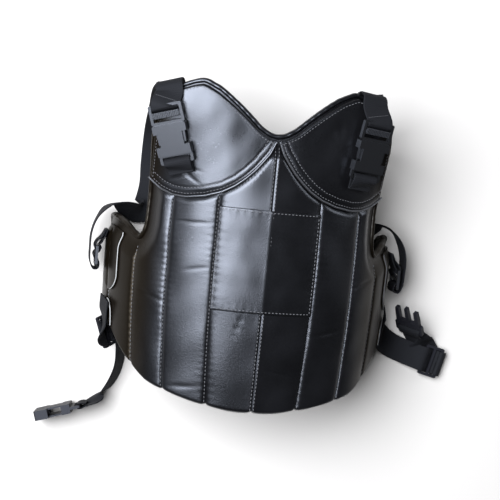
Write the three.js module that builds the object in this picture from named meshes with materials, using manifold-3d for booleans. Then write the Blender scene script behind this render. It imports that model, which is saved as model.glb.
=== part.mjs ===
// Martial arts chest protector, lying on its back with the chest up.
// Millimetres. +X to the right of the picture, +Y towards the neck, +Z up from the surface it lies on.
import * as THREE from "three";
import { mergeVertices } from "three/addons/utils/BufferGeometryUtils.js";
import Module from "manifold-3d";

const wasm = await Module();
wasm.setup();

// Driving sizes of the padded shell, measured on the flat pattern: around from the centre line, up from the hem
const bodyLength = 456;
const neckHalf = 106;
const neckDepth = 68;
const armholeHalf = 187;
const shoulderHalf = 168;
const shoulderDrop = 22;
const armholeDip = 228;
const sideSeam = 198;
const wingReach = 345;
const wingTop = 252;
const chestLine = 294;
const channelSeams = [0, 72, 140, sideSeam, 268];

// How the pattern wraps the trunk
const frontRadius = 236;
const sideTightening = 0.09;
const tighteningScale = 200;
const hemTaper = 0.94;
const chestTaper = 0.98;
const flatShoulders = 0.45;
const flattenFrom = 280;
const flattenOver = 150;

// Thickness of the shell and of what is sewn on it
const padThickness = 20;
const channelCrown = 7;
const rimTop = -4;
const rimBottom = -10;
const rimWidth = 12;
const bindingWidth = 5;
const bindingWall = 1.6;
const sheetThickness = 1.6;
const panelThickness = 4;
const panelCrown = 3;
const gap = 0.3;
const seatGap = 0.6;

// Front patch
const patchSide = 144;
const patchTop = 286;

// Webbing and hardware
const webWidth = 38;
const webThickness = 1.8;
const plasticWall = 2.4;
const buckleWidth = 48;
const buckleThickness = 12;
const socketLength = 41;
const socketTail = 14;
const plugLength = 28;
const plugFrame = 6;
const prongLength = 27;
const prongWidth = 7;
const barWidth = 4;
const cornerRadius = 2.5;
const sliderLength = 30;
const sliderThickness = 4;

const ease = (t) => {
  const c = Math.min(Math.max(t, 0), 1);
  return c * c * (3 - 2 * c);
};

// Reads a short table of rows [place, value] with straight lines between the rows.
function read(table, place) {
  const last = table.length - 1;
  if (place <= table[0][0]) return table[0][1];
  if (place >= table[last][0]) return table[last][1];
  const i = table.findIndex((row) => row[0] >= place);
  const [a, b] = [table[i - 1], table[i]];
  return a[1] + ((b[1] - a[1]) * (place - a[0])) / (b[0] - a[0]);
}

// Rows: [share of neckHalf, share of neckDepth that the neckline hangs below the shoulder top]
const neckline = [
  [0, 1], [0.1, 0.975], [0.24, 0.85], [0.38, 0.66], [0.54, 0.46], [0.7, 0.28], [0.84, 0.14], [1, 0.04],
];
// Rows: [share of the shoulder from its neck end, share of shoulderDrop]
const shoulder = [[0, 0.1], [0.15, 0], [0.35, 0.12], [0.6, 0.38], [0.8, 0.65], [1, 1]];
// Rows: [share of the height from the dip to the shoulder corner, share of armholeHalf]
const armhole = [
  [0, 1.059], [0.05, 1.018], [0.12, 1], [0.36, 0.995], [0.54, 0.975], [0.75, 0.965], [0.9, 0.94], [1, 0.9],
];
// Rows: [share of sideSeam, share of armholeDip that the front hem rises]
const frontHem = [[0, 0], [0.18, 0.006], [0.36, 0.022], [0.53, 0.052], [0.71, 0.085], [0.85, 0.125], [1, 0.2]];
// Rows: [share of the wing from the side seam to its end, share of wingTop]
const wingHem = [[0, 0.18], [0.15, 0.255], [0.32, 0.335], [0.52, 0.39], [0.76, 0.43], [0.92, 0.47], [1, 0.54]];
const wingEdge = [[0, 0.905], [0.09, 0.925], [0.23, 0.965], [0.42, 0.992], [0.62, 1], [0.82, 0.985], [0.93, 0.945], [1, 0.88]];
// Rows: [share of armholeHalf, share of the height from chestLine to the bottom of the neckline]
const chestEdge = [
  [0, 0.96], [0.016, 0.91], [0.053, 0.74], [0.1, 0.61], [0.15, 0.48], [0.214, 0.35], [0.283, 0.235], [0.374, 0.13],
  [0.5, 0.045], [0.64, 0], [0.75, 0.01], [0.855, 0.075], [0.935, 0.17], [1, 0.26],
];

const shoulderTop = (around) => {
  const a = Math.abs(around);
  if (a <= neckHalf) return bodyLength - neckDepth * read(neckline, a / neckHalf);
  return bodyLength - shoulderDrop * read(shoulder, (a - neckHalf) / (shoulderHalf - neckHalf));
};
const cornerHeight = bodyLength - shoulderDrop;
const armholeEdge = (up) => armholeHalf * read(armhole, (up - armholeDip) / (cornerHeight - armholeDip));
const wingShare = (around) => (Math.abs(around) - sideSeam) / (wingReach - sideSeam);
const hemEdge = (around) => {
  const a = Math.abs(around);
  if (a <= sideSeam) return armholeDip * read(frontHem, a / sideSeam);
  return wingTop * read(wingHem, wingShare(a));
};
const wingTopEdge = (around) => wingTop * read(wingEdge, wingShare(around));
const neckBottom = bodyLength - neckDepth;
const chestPanelEdge = (around) => {
  const share = read(chestEdge, Math.abs(around) / armholeHalf);
  return chestLine + (neckBottom - chestLine) * share;
};

// Wraps a pattern point round the trunk: around and up on the pattern, out from its surface.
function wrap(around, up, out) {
  const t = up / bodyLength;
  const middle = 0.4;
  const upper = 0.8;
  const taper =
    (hemTaper * (t - middle) * (t - upper)) / (middle * upper) +
    (t * (t - upper)) / (middle * (middle - upper)) +
    (chestTaper * t * (t - middle)) / (upper * (upper - middle));
  const bend = 1 - (1 - flatShoulders) * ease((up - flattenFrom) / flattenOver);
  const reach = Math.abs(around);
  const angle = (a) => ((bend * a) / frontRadius) * (1 + sideTightening * (a / tighteningScale) ** 2);
  const steps = 40;
  let x = 0;
  let z = 0;
  for (let i = 0; i < steps; i++) {
    const turn = angle((reach * (i + 0.5)) / steps);
    x += (Math.cos(turn) * reach) / steps;
    z -= (Math.sin(turn) * reach) / steps;
  }
  const turn = angle(reach);
  const side = Math.sign(around) || 1;
  return new THREE.Vector3(
    side * (x * taper + out * Math.sin(turn)),
    up,
    z * taper + out * Math.cos(turn),
  );
}

// Distance on the pattern from a point to the bound edge
function boundDistance(around, up) {
  const a = Math.abs(around);
  let nearest = Infinity;
  for (let i = 0; i + 1 < edgeLine.length; i++) {
    const [p, q] = [edgeLine[i], edgeLine[i + 1]];
    const [dx, dy] = [q[0] - p[0], q[1] - p[1]];
    const t = Math.min(Math.max(((a - p[0]) * dx + (up - p[1]) * dy) / (dx * dx + dy * dy), 0), 1);
    nearest = Math.min(nearest, Math.hypot(a - p[0] - t * dx, up - p[1] - t * dy));
  }
  return nearest;
}

// The padded surface: channels that swell between their seams and flatten at the edges
const rimFade = 26;
function padTop(around, up) {
  const a = Math.abs(around);
  const inside = boundDistance(a, up) - rimWidth;
  const edgeFade = ease(inside / rimFade);
  const seams = [...channelSeams, wingReach];
  const i = seams.findLastIndex((seam) => a >= seam);
  const share = Math.min((a - seams[i]) / ((seams[i + 1] ?? wingReach + 1) - seams[i]), 1);
  const crown = channelCrown * Math.sqrt(4 * share * (1 - share));
  const hemFade = ease((up - hemEdge(a) + rimFade / 4) / rimFade);
  const chestFade = ease((chestPanelEdge(a) - up) / rimFade);
  return crown * edgeFade * hemFade * chestFade + rimTop * (1 - edgeFade);
}
function padBottom(around, up) {
  const inside = Math.min(boundDistance(around, up) - rimWidth, up - hemEdge(around));
  return rimBottom - (padThickness + rimBottom) * ease(inside / rimFade);
}

// Makes a closed sheet from grids of pattern points: two faces, and a wall along every open edge.
function sheetFrom(grids, topOf, bottomOf) {
  const corners = new Map();
  const top = [];
  const bottom = [];
  const corner = ([a, u]) => {
    const key = `${a.toFixed(3)} ${u.toFixed(3)}`;
    if (!corners.has(key)) {
      corners.set(key, top.length);
      top.push(wrap(a, u, topOf(a, u)));
      bottom.push(wrap(a, u, bottomOf(a, u)));
    }
    return corners.get(key);
  };
  const faces = [];
  const addFace = (a, b, c) => {
    if (a !== b && b !== c && c !== a) faces.push([a, b, c]);
  };
  for (const grid of grids) {
    for (let i = 0; i + 1 < grid.length; i++) {
      for (let j = 0; j + 1 < grid[i].length; j++) {
        const quad = [grid[i][j], grid[i + 1][j], grid[i + 1][j + 1], grid[i][j + 1]].map(corner);
        addFace(quad[0], quad[1], quad[2]);
        addFace(quad[0], quad[2], quad[3]);
      }
    }
  }
  const edges = new Map();
  for (const face of faces) {
    for (let k = 0; k < 3; k++) edges.set(`${face[k]} ${face[(k + 1) % 3]}`, [face[k], face[(k + 1) % 3]]);
  }
  const positions = [];
  const push = (...points) => points.forEach((p) => positions.push(p.x, p.y, p.z));
  for (const [a, b, c] of faces) {
    push(top[a], top[b], top[c]);
    push(bottom[c], bottom[b], bottom[a]);
  }
  for (const [a, b] of edges.values()) {
    if (edges.has(`${b} ${a}`)) continue;
    push(top[b], top[a], bottom[a]);
    push(top[b], bottom[a], bottom[b]);
  }
  return new THREE.BufferGeometry().setAttribute("position", new THREE.Float32BufferAttribute(positions, 3));
}

// Columns across one half of the front: evenly between the seams, then out to the armhole edge
const columnsPerChannel = 5;
const frontColumns = [];
for (let k = 0; k < 2; k++) {
  for (let i = 0; i < columnsPerChannel; i++) {
    const share = i / columnsPerChannel;
    frontColumns.push(channelSeams[k] + share * (channelSeams[k + 1] - channelSeams[k]));
  }
}
const outerShares = [0, 0.33, 0.67, 1];
const shares = (count, rim) => [...Array(count).keys()].map((i) => i / count).concat(rim, 1);
const lowShares = [0, 0.04, 0.12, 0.28, 0.46, 0.64, 0.82, 1 - rimWidth / (armholeDip - hemEdge(sideSeam)), 1];
const middleShares = [0.25, 0.5, 0.75, 0.9, 1];

const sideEdge = (up) => (up >= armholeDip ? armholeEdge(up) : sideSeam);
function frontGrid(side) {
  const columns = [
    ...frontColumns.map((a) => ({ at: () => a })),
    ...outerShares.map((share) => ({
      at: (up) => channelSeams[2] + share * (sideEdge(up) - rimWidth - channelSeams[2]),
    })),
    { at: sideEdge },
  ];
  const grid = columns.map(({ at }) => {
    const topUp = shoulderTop(at(cornerHeight));
    const lineUp = chestPanelEdge(at(chestLine));
    const low = lowShares.map((v) => hemEdge(at(0)) + v * (armholeDip - hemEdge(at(0))));
    const middle = middleShares.map((v) => armholeDip + v * (lineUp - armholeDip));
    const rim = 1 - Math.min(rimWidth / (topUp - lineUp), 0.5);
    const high = shares(5, rim).slice(1).map((v) => lineUp + Math.min(v, 1) * (topUp - lineUp));
    const highSorted = [...new Set(high)].sort((p, q) => p - q);
    return [...low, ...middle, ...highSorted].map((up) => [side * at(up), up]);
  });
  return side > 0 ? grid : grid.reverse();
}

const wingShares = [0, 0.12, 0.24, 0.36, 0.476, 0.6, 0.74, 0.86, 1 - rimWidth / (wingReach - sideSeam), 1];
function wingGrid(side) {
  const grid = wingShares.map((share) => {
    const around = sideSeam + share * (wingReach - sideSeam);
    const low = hemEdge(around);
    const high = share ? wingTopEdge(around) : armholeDip;
    return lowShares.map((v) => [side * around, low + v * (high - low)]);
  });
  return side > 0 ? grid : grid.reverse();
}

// The bound edge, from the lower corner of one wing over the shoulders to that of the other
function boundEdge() {
  const half = [];
  const wingEnd = lowShares.slice(1).map((v) => {
    const low = hemEdge(wingReach);
    return [wingReach, low + v * (wingTopEdge(wingReach) - low)];
  });
  half.push(...wingEnd);
  for (const share of [...wingShares].reverse().slice(1)) {
    const around = sideSeam + share * (wingReach - sideSeam);
    half.push([around, share ? wingTopEdge(around) : armholeDip]);
  }
  const outer = frontGrid(1);
  const armholeColumn = outer[outer.length - 1];
  half.push(...armholeColumn.filter(([, up]) => up > armholeDip));
  for (const column of [...outer].reverse().slice(1)) half.push(column[column.length - 1]);
  return [...half, ...half.slice(0, -1).reverse().map(([a, u]) => [-a, u])];
}

const edgeLine = boundEdge();

function bindingGeometry() {
  const path = edgeLine;
  const lip = seatGap + bindingWall;
  // Rows: [distance inside the edge, out from the pattern surface], once round the folded strip
  const fold = [
    [bindingWidth, rimTop + seatGap], [bindingWidth, rimTop + lip], [0, rimTop + lip], [-lip, rimTop - 0.5],
    [-lip, rimBottom + 0.5], [0, rimBottom - lip], [bindingWidth, rimBottom - lip],
    [bindingWidth, rimBottom - seatGap], [-gap, rimBottom - seatGap], [-gap, rimTop + seatGap],
  ];
  const rings = path.map(([a, u], i) => {
    const [a0, u0] = path[Math.max(i - 1, 0)];
    const [a1, u1] = path[Math.min(i + 1, path.length - 1)];
    const length = Math.hypot(a1 - a0, u1 - u0);
    const inward = [-(u1 - u0) / length, (a1 - a0) / length];
    return fold.map(([inside, out]) => wrap(a + inward[0] * inside, u + inward[1] * inside, out));
  });
  return loft(rings);
}

// Joins rings of points into a closed skin with flat ends.
function loft(rings) {
  const positions = [];
  const push = (...points) => points.forEach((p) => positions.push(p.x, p.y, p.z));
  const count = rings[0].length;
  for (let i = 0; i + 1 < rings.length; i++) {
    for (let k = 0; k < count; k++) {
      const n = (k + 1) % count;
      push(rings[i][k], rings[i][n], rings[i + 1][n]);
      push(rings[i][k], rings[i + 1][n], rings[i + 1][k]);
    }
  }
  const flat = (ring) => {
    const origin = ring[0];
    const first = ring[1].clone().sub(origin).normalize();
    const normal = new THREE.Vector3();
    for (let k = 0; k < count; k++) normal.add(ring[k].clone().sub(origin).cross(ring[(k + 1) % count].clone().sub(origin)));
    const second = normal.normalize().clone().cross(first);
    return ring.map((p) => {
      const d = p.clone().sub(origin);
      return new THREE.Vector2(d.dot(first), d.dot(second));
    });
  };
  for (const [ring, flip] of [[rings[0], true], [rings[rings.length - 1], false]]) {
    for (const [a, b, c] of THREE.ShapeUtils.triangulateShape(flat(ring), [])) {
      if (flip) push(ring[c], ring[b], ring[a]);
      else push(ring[a], ring[b], ring[c]);
    }
  }
  const geometry = new THREE.BufferGeometry();
  geometry.setAttribute("position", new THREE.Float32BufferAttribute(positions, 3));
  return facingOut(geometry);
}

// Turns a closed skin the right way round when its volume comes out negative.
function facingOut(geometry) {
  const p = geometry.getAttribute("position");
  const [a, b, c] = [new THREE.Vector3(), new THREE.Vector3(), new THREE.Vector3()];
  let volume = 0;
  for (let i = 0; i < p.count; i += 3) {
    a.fromBufferAttribute(p, i);
    b.fromBufferAttribute(p, i + 1);
    c.fromBufferAttribute(p, i + 2);
    volume += a.dot(b.cross(c));
  }
  if (volume >= 0) return geometry;
  for (let i = 0; i < p.count; i += 3) {
    b.fromBufferAttribute(p, i + 1);
    c.fromBufferAttribute(p, i + 2);
    p.setXYZ(i + 1, c.x, c.y, c.z);
    p.setXYZ(i + 2, b.x, b.y, b.z);
  }
  return geometry;
}

// Materials
const material = (color, roughness, metalness = 0) => new THREE.MeshStandardMaterial({ color, roughness, metalness });
const vinyl = material(0x141415, 0.38);
const edging = material(0x101011, 0.42);
const webbing = material(0x0c0c0d, 0.85);
const plastic = material(0x121213, 0.35);

const part = new THREE.Group();
function add(name, geometry, finish) {
  const mesh = new THREE.Mesh(geometry, finish);
  mesh.name = name;
  part.add(mesh);
  return mesh;
}

// Padded shell
const shellGrids = [frontGrid(1), frontGrid(-1), wingGrid(1), wingGrid(-1)];
const shell = add("padded_shell", sheetFrom(shellGrids, padTop, padBottom), vinyl);
const binding = add("edge_binding", bindingGeometry(), edging);

// Chest panels: one on each side of the centre seam, from their curved lower edge up to the binding
const panelInset = bindingWidth + 2;
const panelStart = 2.5;
for (const [name, side] of [["chest_panel_right", 1], ["chest_panel_left", -1]]) {
  const starts = [panelStart, panelStart + 5, ...frontColumns.slice(1)];
  const ends = [0, 0.33, 0.67, 1].map((share) => (up) => (
    channelSeams[2] + share * (armholeEdge(up) - panelInset - channelSeams[2])
  ));
  const columns = [...starts.map((a) => () => a), ...ends];
  const grid = columns.map((at) => {
    const low = chestPanelEdge(at(chestLine));
    const steep = at(chestLine) < neckHalf ? 1.35 : 1;
    const high = Math.max(shoulderTop(at(cornerHeight)) - panelInset * steep, low + 2);
    return [0, 0.06, 0.2, 0.4, 0.6, 0.8, 0.94, 1].map((v) => low + v * (high - low)).map((up) => [side * at(up), up]);
  });
  const rounded = (a, up) => {
    const low = chestPanelEdge(a);
    const inside = Math.min(up - low, boundDistance(a, up) - panelInset, (Math.abs(a) - panelStart) * 2);
    return seatGap + panelThickness + panelCrown * ease(inside / rimFade);
  };
  add(name, sheetFrom([side > 0 ? grid : grid.reverse()], rounded, () => seatGap), vinyl);
}

// Front patch, sewn over the two middle channels
const patchColumns = [...frontColumns.slice(1, columnsPerChannel + 1)];
const patchAcross = [...patchColumns.map((a) => -a).reverse(), 0, ...patchColumns];
const patchRows = [...Array(9).keys()].map((i) => patchTop - patchSide + (i * patchSide) / 8);
const patchGrid = patchAcross.map((a) => patchRows.map((up) => [a, up]));
const onPad = (out) => (a, up) => padTop(a, up) + out;
add("front_patch", sheetFrom([patchGrid], onPad(seatGap + sheetThickness), onPad(seatGap)), vinyl);

// Where something sits on the shell: its place, the way up the pattern, the way around and the way out
function seat(around, up, out) {
  const place = wrap(around, up, out);
  const step = 2;
  const across = wrap(around + step, up, out).sub(wrap(around - step, up, out)).normalize();
  const upward = wrap(around, up + step, out).sub(wrap(around, up - step, out));
  const normal = across.clone().cross(upward).normalize();
  const along = normal.clone().cross(across);
  return { place, across, along, normal };
}

// A strip of webbing or vinyl with a flat section: rows of { at, face }, the middle line and the way its face looks
function ribbon(rows, width, thickness, steps) {
  const line = new THREE.CatmullRomCurve3(rows.map((row) => row.at), false, "centripetal");
  const faces = new THREE.CatmullRomCurve3(rows.map((row) => row.face), false, "centripetal");
  const rings = [];
  for (let i = 0; i <= steps; i++) {
    const t = i / steps;
    const forward = line.getTangent(t);
    const across = forward.clone().cross(faces.getPoint(t)).normalize();
    const face = across.clone().cross(forward).normalize();
    const corner = (side, out) => line.getPoint(t).addScaledVector(across, (side * width) / 2)
      .addScaledVector(face, (out * thickness) / 2);
    rings.push([corner(-1, -1), corner(1, -1), corner(1, 1), corner(-1, 1)]);
  }
  return loft(rings);
}

// Boolean helpers for the hardware
function solid(geometry) {
  const bare = geometry.index ? geometry.toNonIndexed() : geometry.clone();
  const only = new THREE.BufferGeometry().setAttribute("position", bare.getAttribute("position"));
  const merged = mergeVertices(only, 1e-4);
  return new wasm.Manifold(new wasm.Mesh({
    numProp: 3,
    vertProperties: merged.getAttribute("position").array,
    triVerts: new Uint32Array(merged.index.array),
  }));
}
function geometryOf(body) {
  const { vertProperties, triVerts } = body.getMesh();
  const geometry = new THREE.BufferGeometry();
  geometry.setAttribute("position", new THREE.BufferAttribute(new Float32Array(vertProperties), 3));
  geometry.setIndex(new THREE.BufferAttribute(new Uint32Array(triVerts), 1));
  return geometry;
}
function box(x0, x1, y0, y1, z0, z1) {
  const geometry = new THREE.BoxGeometry(x1 - x0, y1 - y0, z1 - z0);
  return geometry.translate((x0 + x1) / 2, (y0 + y1) / 2, (z0 + z1) / 2);
}
function roundedShape(x0, x1, y0, y1, r) {
  const shape = new THREE.Shape();
  shape.absarc(x1 - r, y1 - r, r, 0, Math.PI / 2);
  shape.absarc(x0 + r, y1 - r, r, Math.PI / 2, Math.PI);
  shape.absarc(x0 + r, y0 + r, r, Math.PI, Math.PI * 1.5);
  shape.absarc(x1 - r, y0 + r, r, Math.PI * 1.5, Math.PI * 2);
  return shape;
}
const slab = (shape, z0, z1) => new THREE.ExtrudeGeometry(shape, {
  depth: z1 - z0, bevelEnabled: false, curveSegments: 3,
}).translate(0, 0, z0);

// Hardware is drawn flat: X across the webbing, Y along it, Z out. The socket's mouth is at Y = 0.
const half = buckleWidth / 2;
const slotHalf = webWidth / 2 + 1;
const slotDepth = 6;
const socketHollow = buckleThickness / 2 - plasticWall;

const shoulderSocket = {
  length: socketLength, tail: socketTail, thickness: buckleThickness, windowStart: 12, windowEnd: 30,
};
const waistSocket = { length: 52, tail: 18, thickness: 14, windowStart: 20, windowEnd: 41 };

// Female half: a hollow body with a window in each side, and a bar for the webbing behind it
function socketGeometry({ length, tail, thickness, windowStart, windowEnd }) {
  const back = -length - tail;
  const hollowHalf = thickness / 2 - plasticWall;
  const body = solid(slab(roundedShape(-half, half, back, 0, cornerRadius), -thickness / 2, thickness / 2));
  const hollow = box(plasticWall - half, half - plasticWall, plasticWall - length, 1, -hollowHalf, hollowHalf);
  const slot = box(-slotHalf, slotHalf, back + barWidth, back + barWidth + slotDepth, -thickness, thickness);
  const windows = [-1, 1].map((side) => {
    const inner = side * (half - prongWidth);
    const outer = side * (half + 1);
    return box(Math.min(inner, outer), Math.max(inner, outer), -windowEnd, -windowStart, -thickness, thickness);
  });
  const thin = box(-half - 1, half + 1, back - 1, back + tail - 2, 2, thickness);
  const thinUnder = box(-half - 1, half + 1, back - 1, back + tail - 2, -thickness, -2);
  const cuts = [hollow, slot, thin, thinUnder, ...windows];
  return geometryOf(cuts.reduce((kept, cut) => kept.subtract(solid(cut)), body));
}

// Male half: a frame with two bars for the webbing and three prongs that go into the socket
function plugGeometry(base, slotStarts) {
  const frameThick = plugFrame / 2;
  const frame = solid(slab(roundedShape(-half, half, gap, base, cornerRadius), -frameThick, frameThick));
  const slots = slotStarts.map((y) => box(-slotHalf, slotHalf, y, y + 7.5, -buckleThickness, buckleThickness));
  const reach = half - plasticWall - 1;
  const thick = socketHollow - gap;
  const outline = new THREE.Shape();
  outline.moveTo(-reach, 1);
  outline.lineTo(-reach, -prongLength * 0.4);
  outline.lineTo(-reach + 1, -prongLength);
  outline.lineTo(-reach + prongWidth, -prongLength);
  outline.lineTo(-reach + prongWidth, -4);
  outline.lineTo(-3.5, -4);
  outline.lineTo(-2.5, -prongLength - 3);
  outline.lineTo(2.5, -prongLength - 3);
  outline.lineTo(3.5, -4);
  outline.lineTo(reach - prongWidth, -4);
  outline.lineTo(reach - prongWidth, -prongLength);
  outline.lineTo(reach - 1, -prongLength);
  outline.lineTo(reach, -prongLength * 0.4);
  outline.lineTo(reach, 1);
  const prongs = solid(slab(outline, -thick, thick));
  return geometryOf(slots.reduce((kept, cut) => kept.subtract(solid(cut)), frame.add(prongs)));
}

// A slider: a frame with two slots and a bar between them
function sliderGeometry(length, thick) {
  const frame = solid(slab(roundedShape(-half, half, -length / 2, length / 2, cornerRadius), -thick / 2, thick / 2));
  const opening = length / 2 - barWidth * 1.5;
  const slots = [-1, 1].map((side) => {
    const near = (side * barWidth) / 2;
    const far = side * (barWidth / 2 + opening);
    return box(-slotHalf, slotHalf, Math.min(near, far), Math.max(near, far), -thick, thick);
  });
  return geometryOf(slots.reduce((kept, cut) => kept.subtract(solid(cut)), frame));
}

function placeAt(mesh, place, across, along, normal) {
  mesh.matrix.makeBasis(across, along, normal);
  mesh.matrix.setPosition(place);
  mesh.matrix.decompose(mesh.position, mesh.quaternion, mesh.scale);
}

// Turns the seat's two directions by an angle, anticlockwise seen from outside
function turned(at, degrees) {
  const turn = THREE.MathUtils.degToRad(degrees);
  const across = at.across.clone().applyAxisAngle(at.normal, turn);
  const along = at.along.clone().applyAxisAngle(at.normal, turn);
  return { ...at, across, along };
}

// A point given in a piece's own directions: along the webbing and out from its middle
function from(at, along, out, across = 0) {
  return at.place.clone().addScaledVector(at.along, along).addScaledVector(at.normal, out)
    .addScaledVector(at.across, across);
}

// The surface it lies on touches the lowest point of the shell and its binding
const lowest = (mesh) => {
  mesh.geometry.computeBoundingBox();
  return mesh.geometry.boundingBox.min.z;
};
const floorZ = Math.min(lowest(shell), lowest(binding));

// What hangs beside the flanks is drawn for this reach of the shell, and moves out or in with it
const drawnReach = 216.307;
const outward = shell.geometry.boundingBox.max.x - drawnReach;
const besideFlanks = 140;
const space = (x, y, z) => new THREE.Vector3(x + (Math.abs(x) > besideFlanks ? Math.sign(x) * outward : 0), y, z);

// Shoulder fastenings. Rows: [name, side, around, up, turn of the buckle in degrees, where the strap folds over the top]
const panelTop = seatGap + panelThickness + panelCrown;
const buckleLift = 3;
const webLift = 3.4;
const buckleOut = panelTop + buckleLift + buckleThickness / 2;
const lieFlat = -buckleThickness / 2 - buckleLift + gap + webThickness / 2;
const shoulderRows = [
  { name: "left", side: -1, around: -152, up: 391, turn: 16, foldAround: -164, foldUp: 443 },
  { name: "right", side: 1, around: 136, up: 393, turn: -6, foldAround: 141, foldUp: 451 },
];
// Rows: [out from the middle in the mirror direction, up the body, above the floor, the way the webbing faces]
const backRoute = [
  [152, 436, 128, [0, 0.7, -0.7]], [150, 412, 66, [0, 0.55, -0.8]], [150, 376, 16, [0, 0.3, -0.95]],
  [150, 330, 2, [0, 0, -1]], [150, 290, 4, [0, 0.1, -1]], [160, 258, 13, [0, 0.25, -0.95]],
  [177, 257, 28, [0, 0.6, -0.8]], [197, 267, 46, [-0.05, 0.98, -0.15]], [215, 261, 50, [-0.35, 0.9, 0]],
  [229, 243, 54, [-0.9, 0.4, 0]],
];
// The strap's end in the wing slider. Rows: [along, out, the way it faces along, the way it faces out]
const wingSliderThreading = [
  [32, 9.5, 0, 1], [10, 10, -0.1, 1], [-10, 8.5, -0.3, 0.9], [-20, 3, -1, 0], [-19, -3, -0.6, -0.8],
  [-12, -4.6, -0.1, -1], [-7.4, -2.8, 0.6, -0.6], [-4.8, 2.4, 0.8, -0.4], [0, 4.2, 0, -1],
  [4, 2.4, -0.8, -0.4], [5, -2.8, -0.6, -0.6], [12, -6.2, -0.2, -1],
];
const wingAnchorRows = [
  [38, -13.2, 0, -1], [28, -10, 0, -1], [20, -6.4, 0, -1], [15, -3.5, 0, -1], [11, -3.4, -0.1, -1], [9.5, -2, -0.7, -0.7],
  [9.2, 0, -1, 0], [9.5, 2, -0.7, 0.7], [11, 3.4, -0.1, 1], [15, 3.4, 0, 1], [20, 0.8, 0, 1], [28, -6, 0, 1], [38, -11, 0, 1],
];
const wingSliderAt = (side) => ({
  place: space(side * 226, 190, floorZ + 57),
  across: space(0, 0, -side),
  along: space(0, 1, 0),
  normal: new THREE.Vector3(side, 0, 0),
});
const rowsOn = (at, rows) => rows.map(([along, out, faceAlong, faceOut, across = 0]) => ({
  at: from(at, along, out, across),
  face: at.normal.clone().multiplyScalar(faceOut).addScaledVector(at.along, faceAlong),
}));
const rowsInSpace = (rows) => rows.map(([x, y, above, [fx, fy, fz]]) => ({
  at: space(x, y, floorZ + above),
  face: space(fx, fy, fz),
}));
const alongPattern = ({ around, up, turn }, distance) => {
  const lean = THREE.MathUtils.degToRad(turn);
  return [around - Math.sin(lean) * distance, up + Math.cos(lean) * distance];
};
// The chest's surface under a buckle's middle line, a stretch along it, with room for the webbing
function onAxis(at, row, distance) {
  const surface = turned(seat(...alongPattern(row, distance), panelTop + webLift), row.turn);
  const out = surface.place.clone().sub(at.place).dot(at.normal);
  return { ...at, place: from(at, distance, out), normal: surface.normal };
}
for (const row of shoulderRows) {
  const at = turned(seat(row.around, row.up, buckleOut), row.turn);
  const socket = add(`shoulder_socket_${row.name}`, socketGeometry(shoulderSocket), plastic);
  placeAt(socket, at.place, at.across, at.along, at.normal);
  const plug = add(`shoulder_plug_${row.name}`, plugGeometry(plugLength, [4, 14.5]), plastic);
  placeAt(plug, at.place, at.across, at.along, at.normal);

  // Anchor: a loop of webbing from the chest panel, up through the socket's slot and back
  const back = -socketLength - socketTail;
  const layer = webThickness + gap;
  const below = onAxis(at, row, back - 16);
  const anchorRows = [
    [below, 0, 0, -1, 0], [onAxis(at, row, back - 5), 0, 0, -1, 0], [at, back + 3, lieFlat + 2.2, -1, 0.2],
    [at, back + 7.2, -0.4, 0, 1], [at, back + 4, 4.2, 1, 0.2], [at, back - 2, 4.2, 1, 0],
    [onAxis(at, row, back - 11), 0, layer + 0.6, 1, 0], [below, 0, layer, 1, 0],
  ].map(([origin, along, out, faceOut, faceAlong]) => ({
    at: from(origin, along, out),
    face: origin.normal.clone().multiplyScalar(faceOut).addScaledVector(origin.along, faceAlong),
  }));
  add(`shoulder_anchor_${row.name}`, ribbon(anchorRows, webWidth, webThickness, 24), webbing);

  // Strap: over the plug's middle bar, under its top bar, over the shoulder, down to the back and out to the wing
  const front = [
    [7.6, -1.6, [1, 0]], [7.8, 1.8, [1, 0]], [9.6, 4.4, [0.6, 0.8]], [13, 4.9, [0, 1]], [16.6, 3.4, [-0.7, 0.7]],
    [18.6, -0.6, [-0.9, 0.3]], [21, -4, [-0.3, 1]], [25, -4.7, [0, 1]],
  ].map(([along, out, [faceAlong, faceOut]]) => ({
    at: from(at, along, out),
    face: at.normal.clone().multiplyScalar(faceOut).addScaledVector(at.along, -faceAlong),
  }));
  const shoulderSeat = onAxis(at, row, plugLength + 8);
  front.push({ at: shoulderSeat.place, face: shoulderSeat.normal });
  const top = turned(seat(row.foldAround, row.foldUp, 0), row.turn);
  const over = [
    [-9, 8, [0, 1]], [1, 5.4, [0.35, 0.9]], [7, -3, [1, 0.1]], [6, -14, [0.9, -0.5]],
  ].map(([along, out, [faceAlong, faceOut]]) => ({
    at: from(top, along, out),
    face: top.normal.clone().multiplyScalar(faceOut).addScaledVector(top.along, faceAlong),
  }));
  const behind = backRoute.map(([x, y, above, [fx, fy, fz]]) => ({
    at: space(row.side * x, y, floorZ + above),
    face: space(-row.side * fx, fy, fz),
  }));
  const threaded = rowsOn(wingSliderAt(row.side), wingSliderThreading);
  add(`shoulder_strap_${row.name}`, ribbon([...front, ...over, ...behind, ...threaded], webWidth, webThickness, 100), webbing);
}

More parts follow.
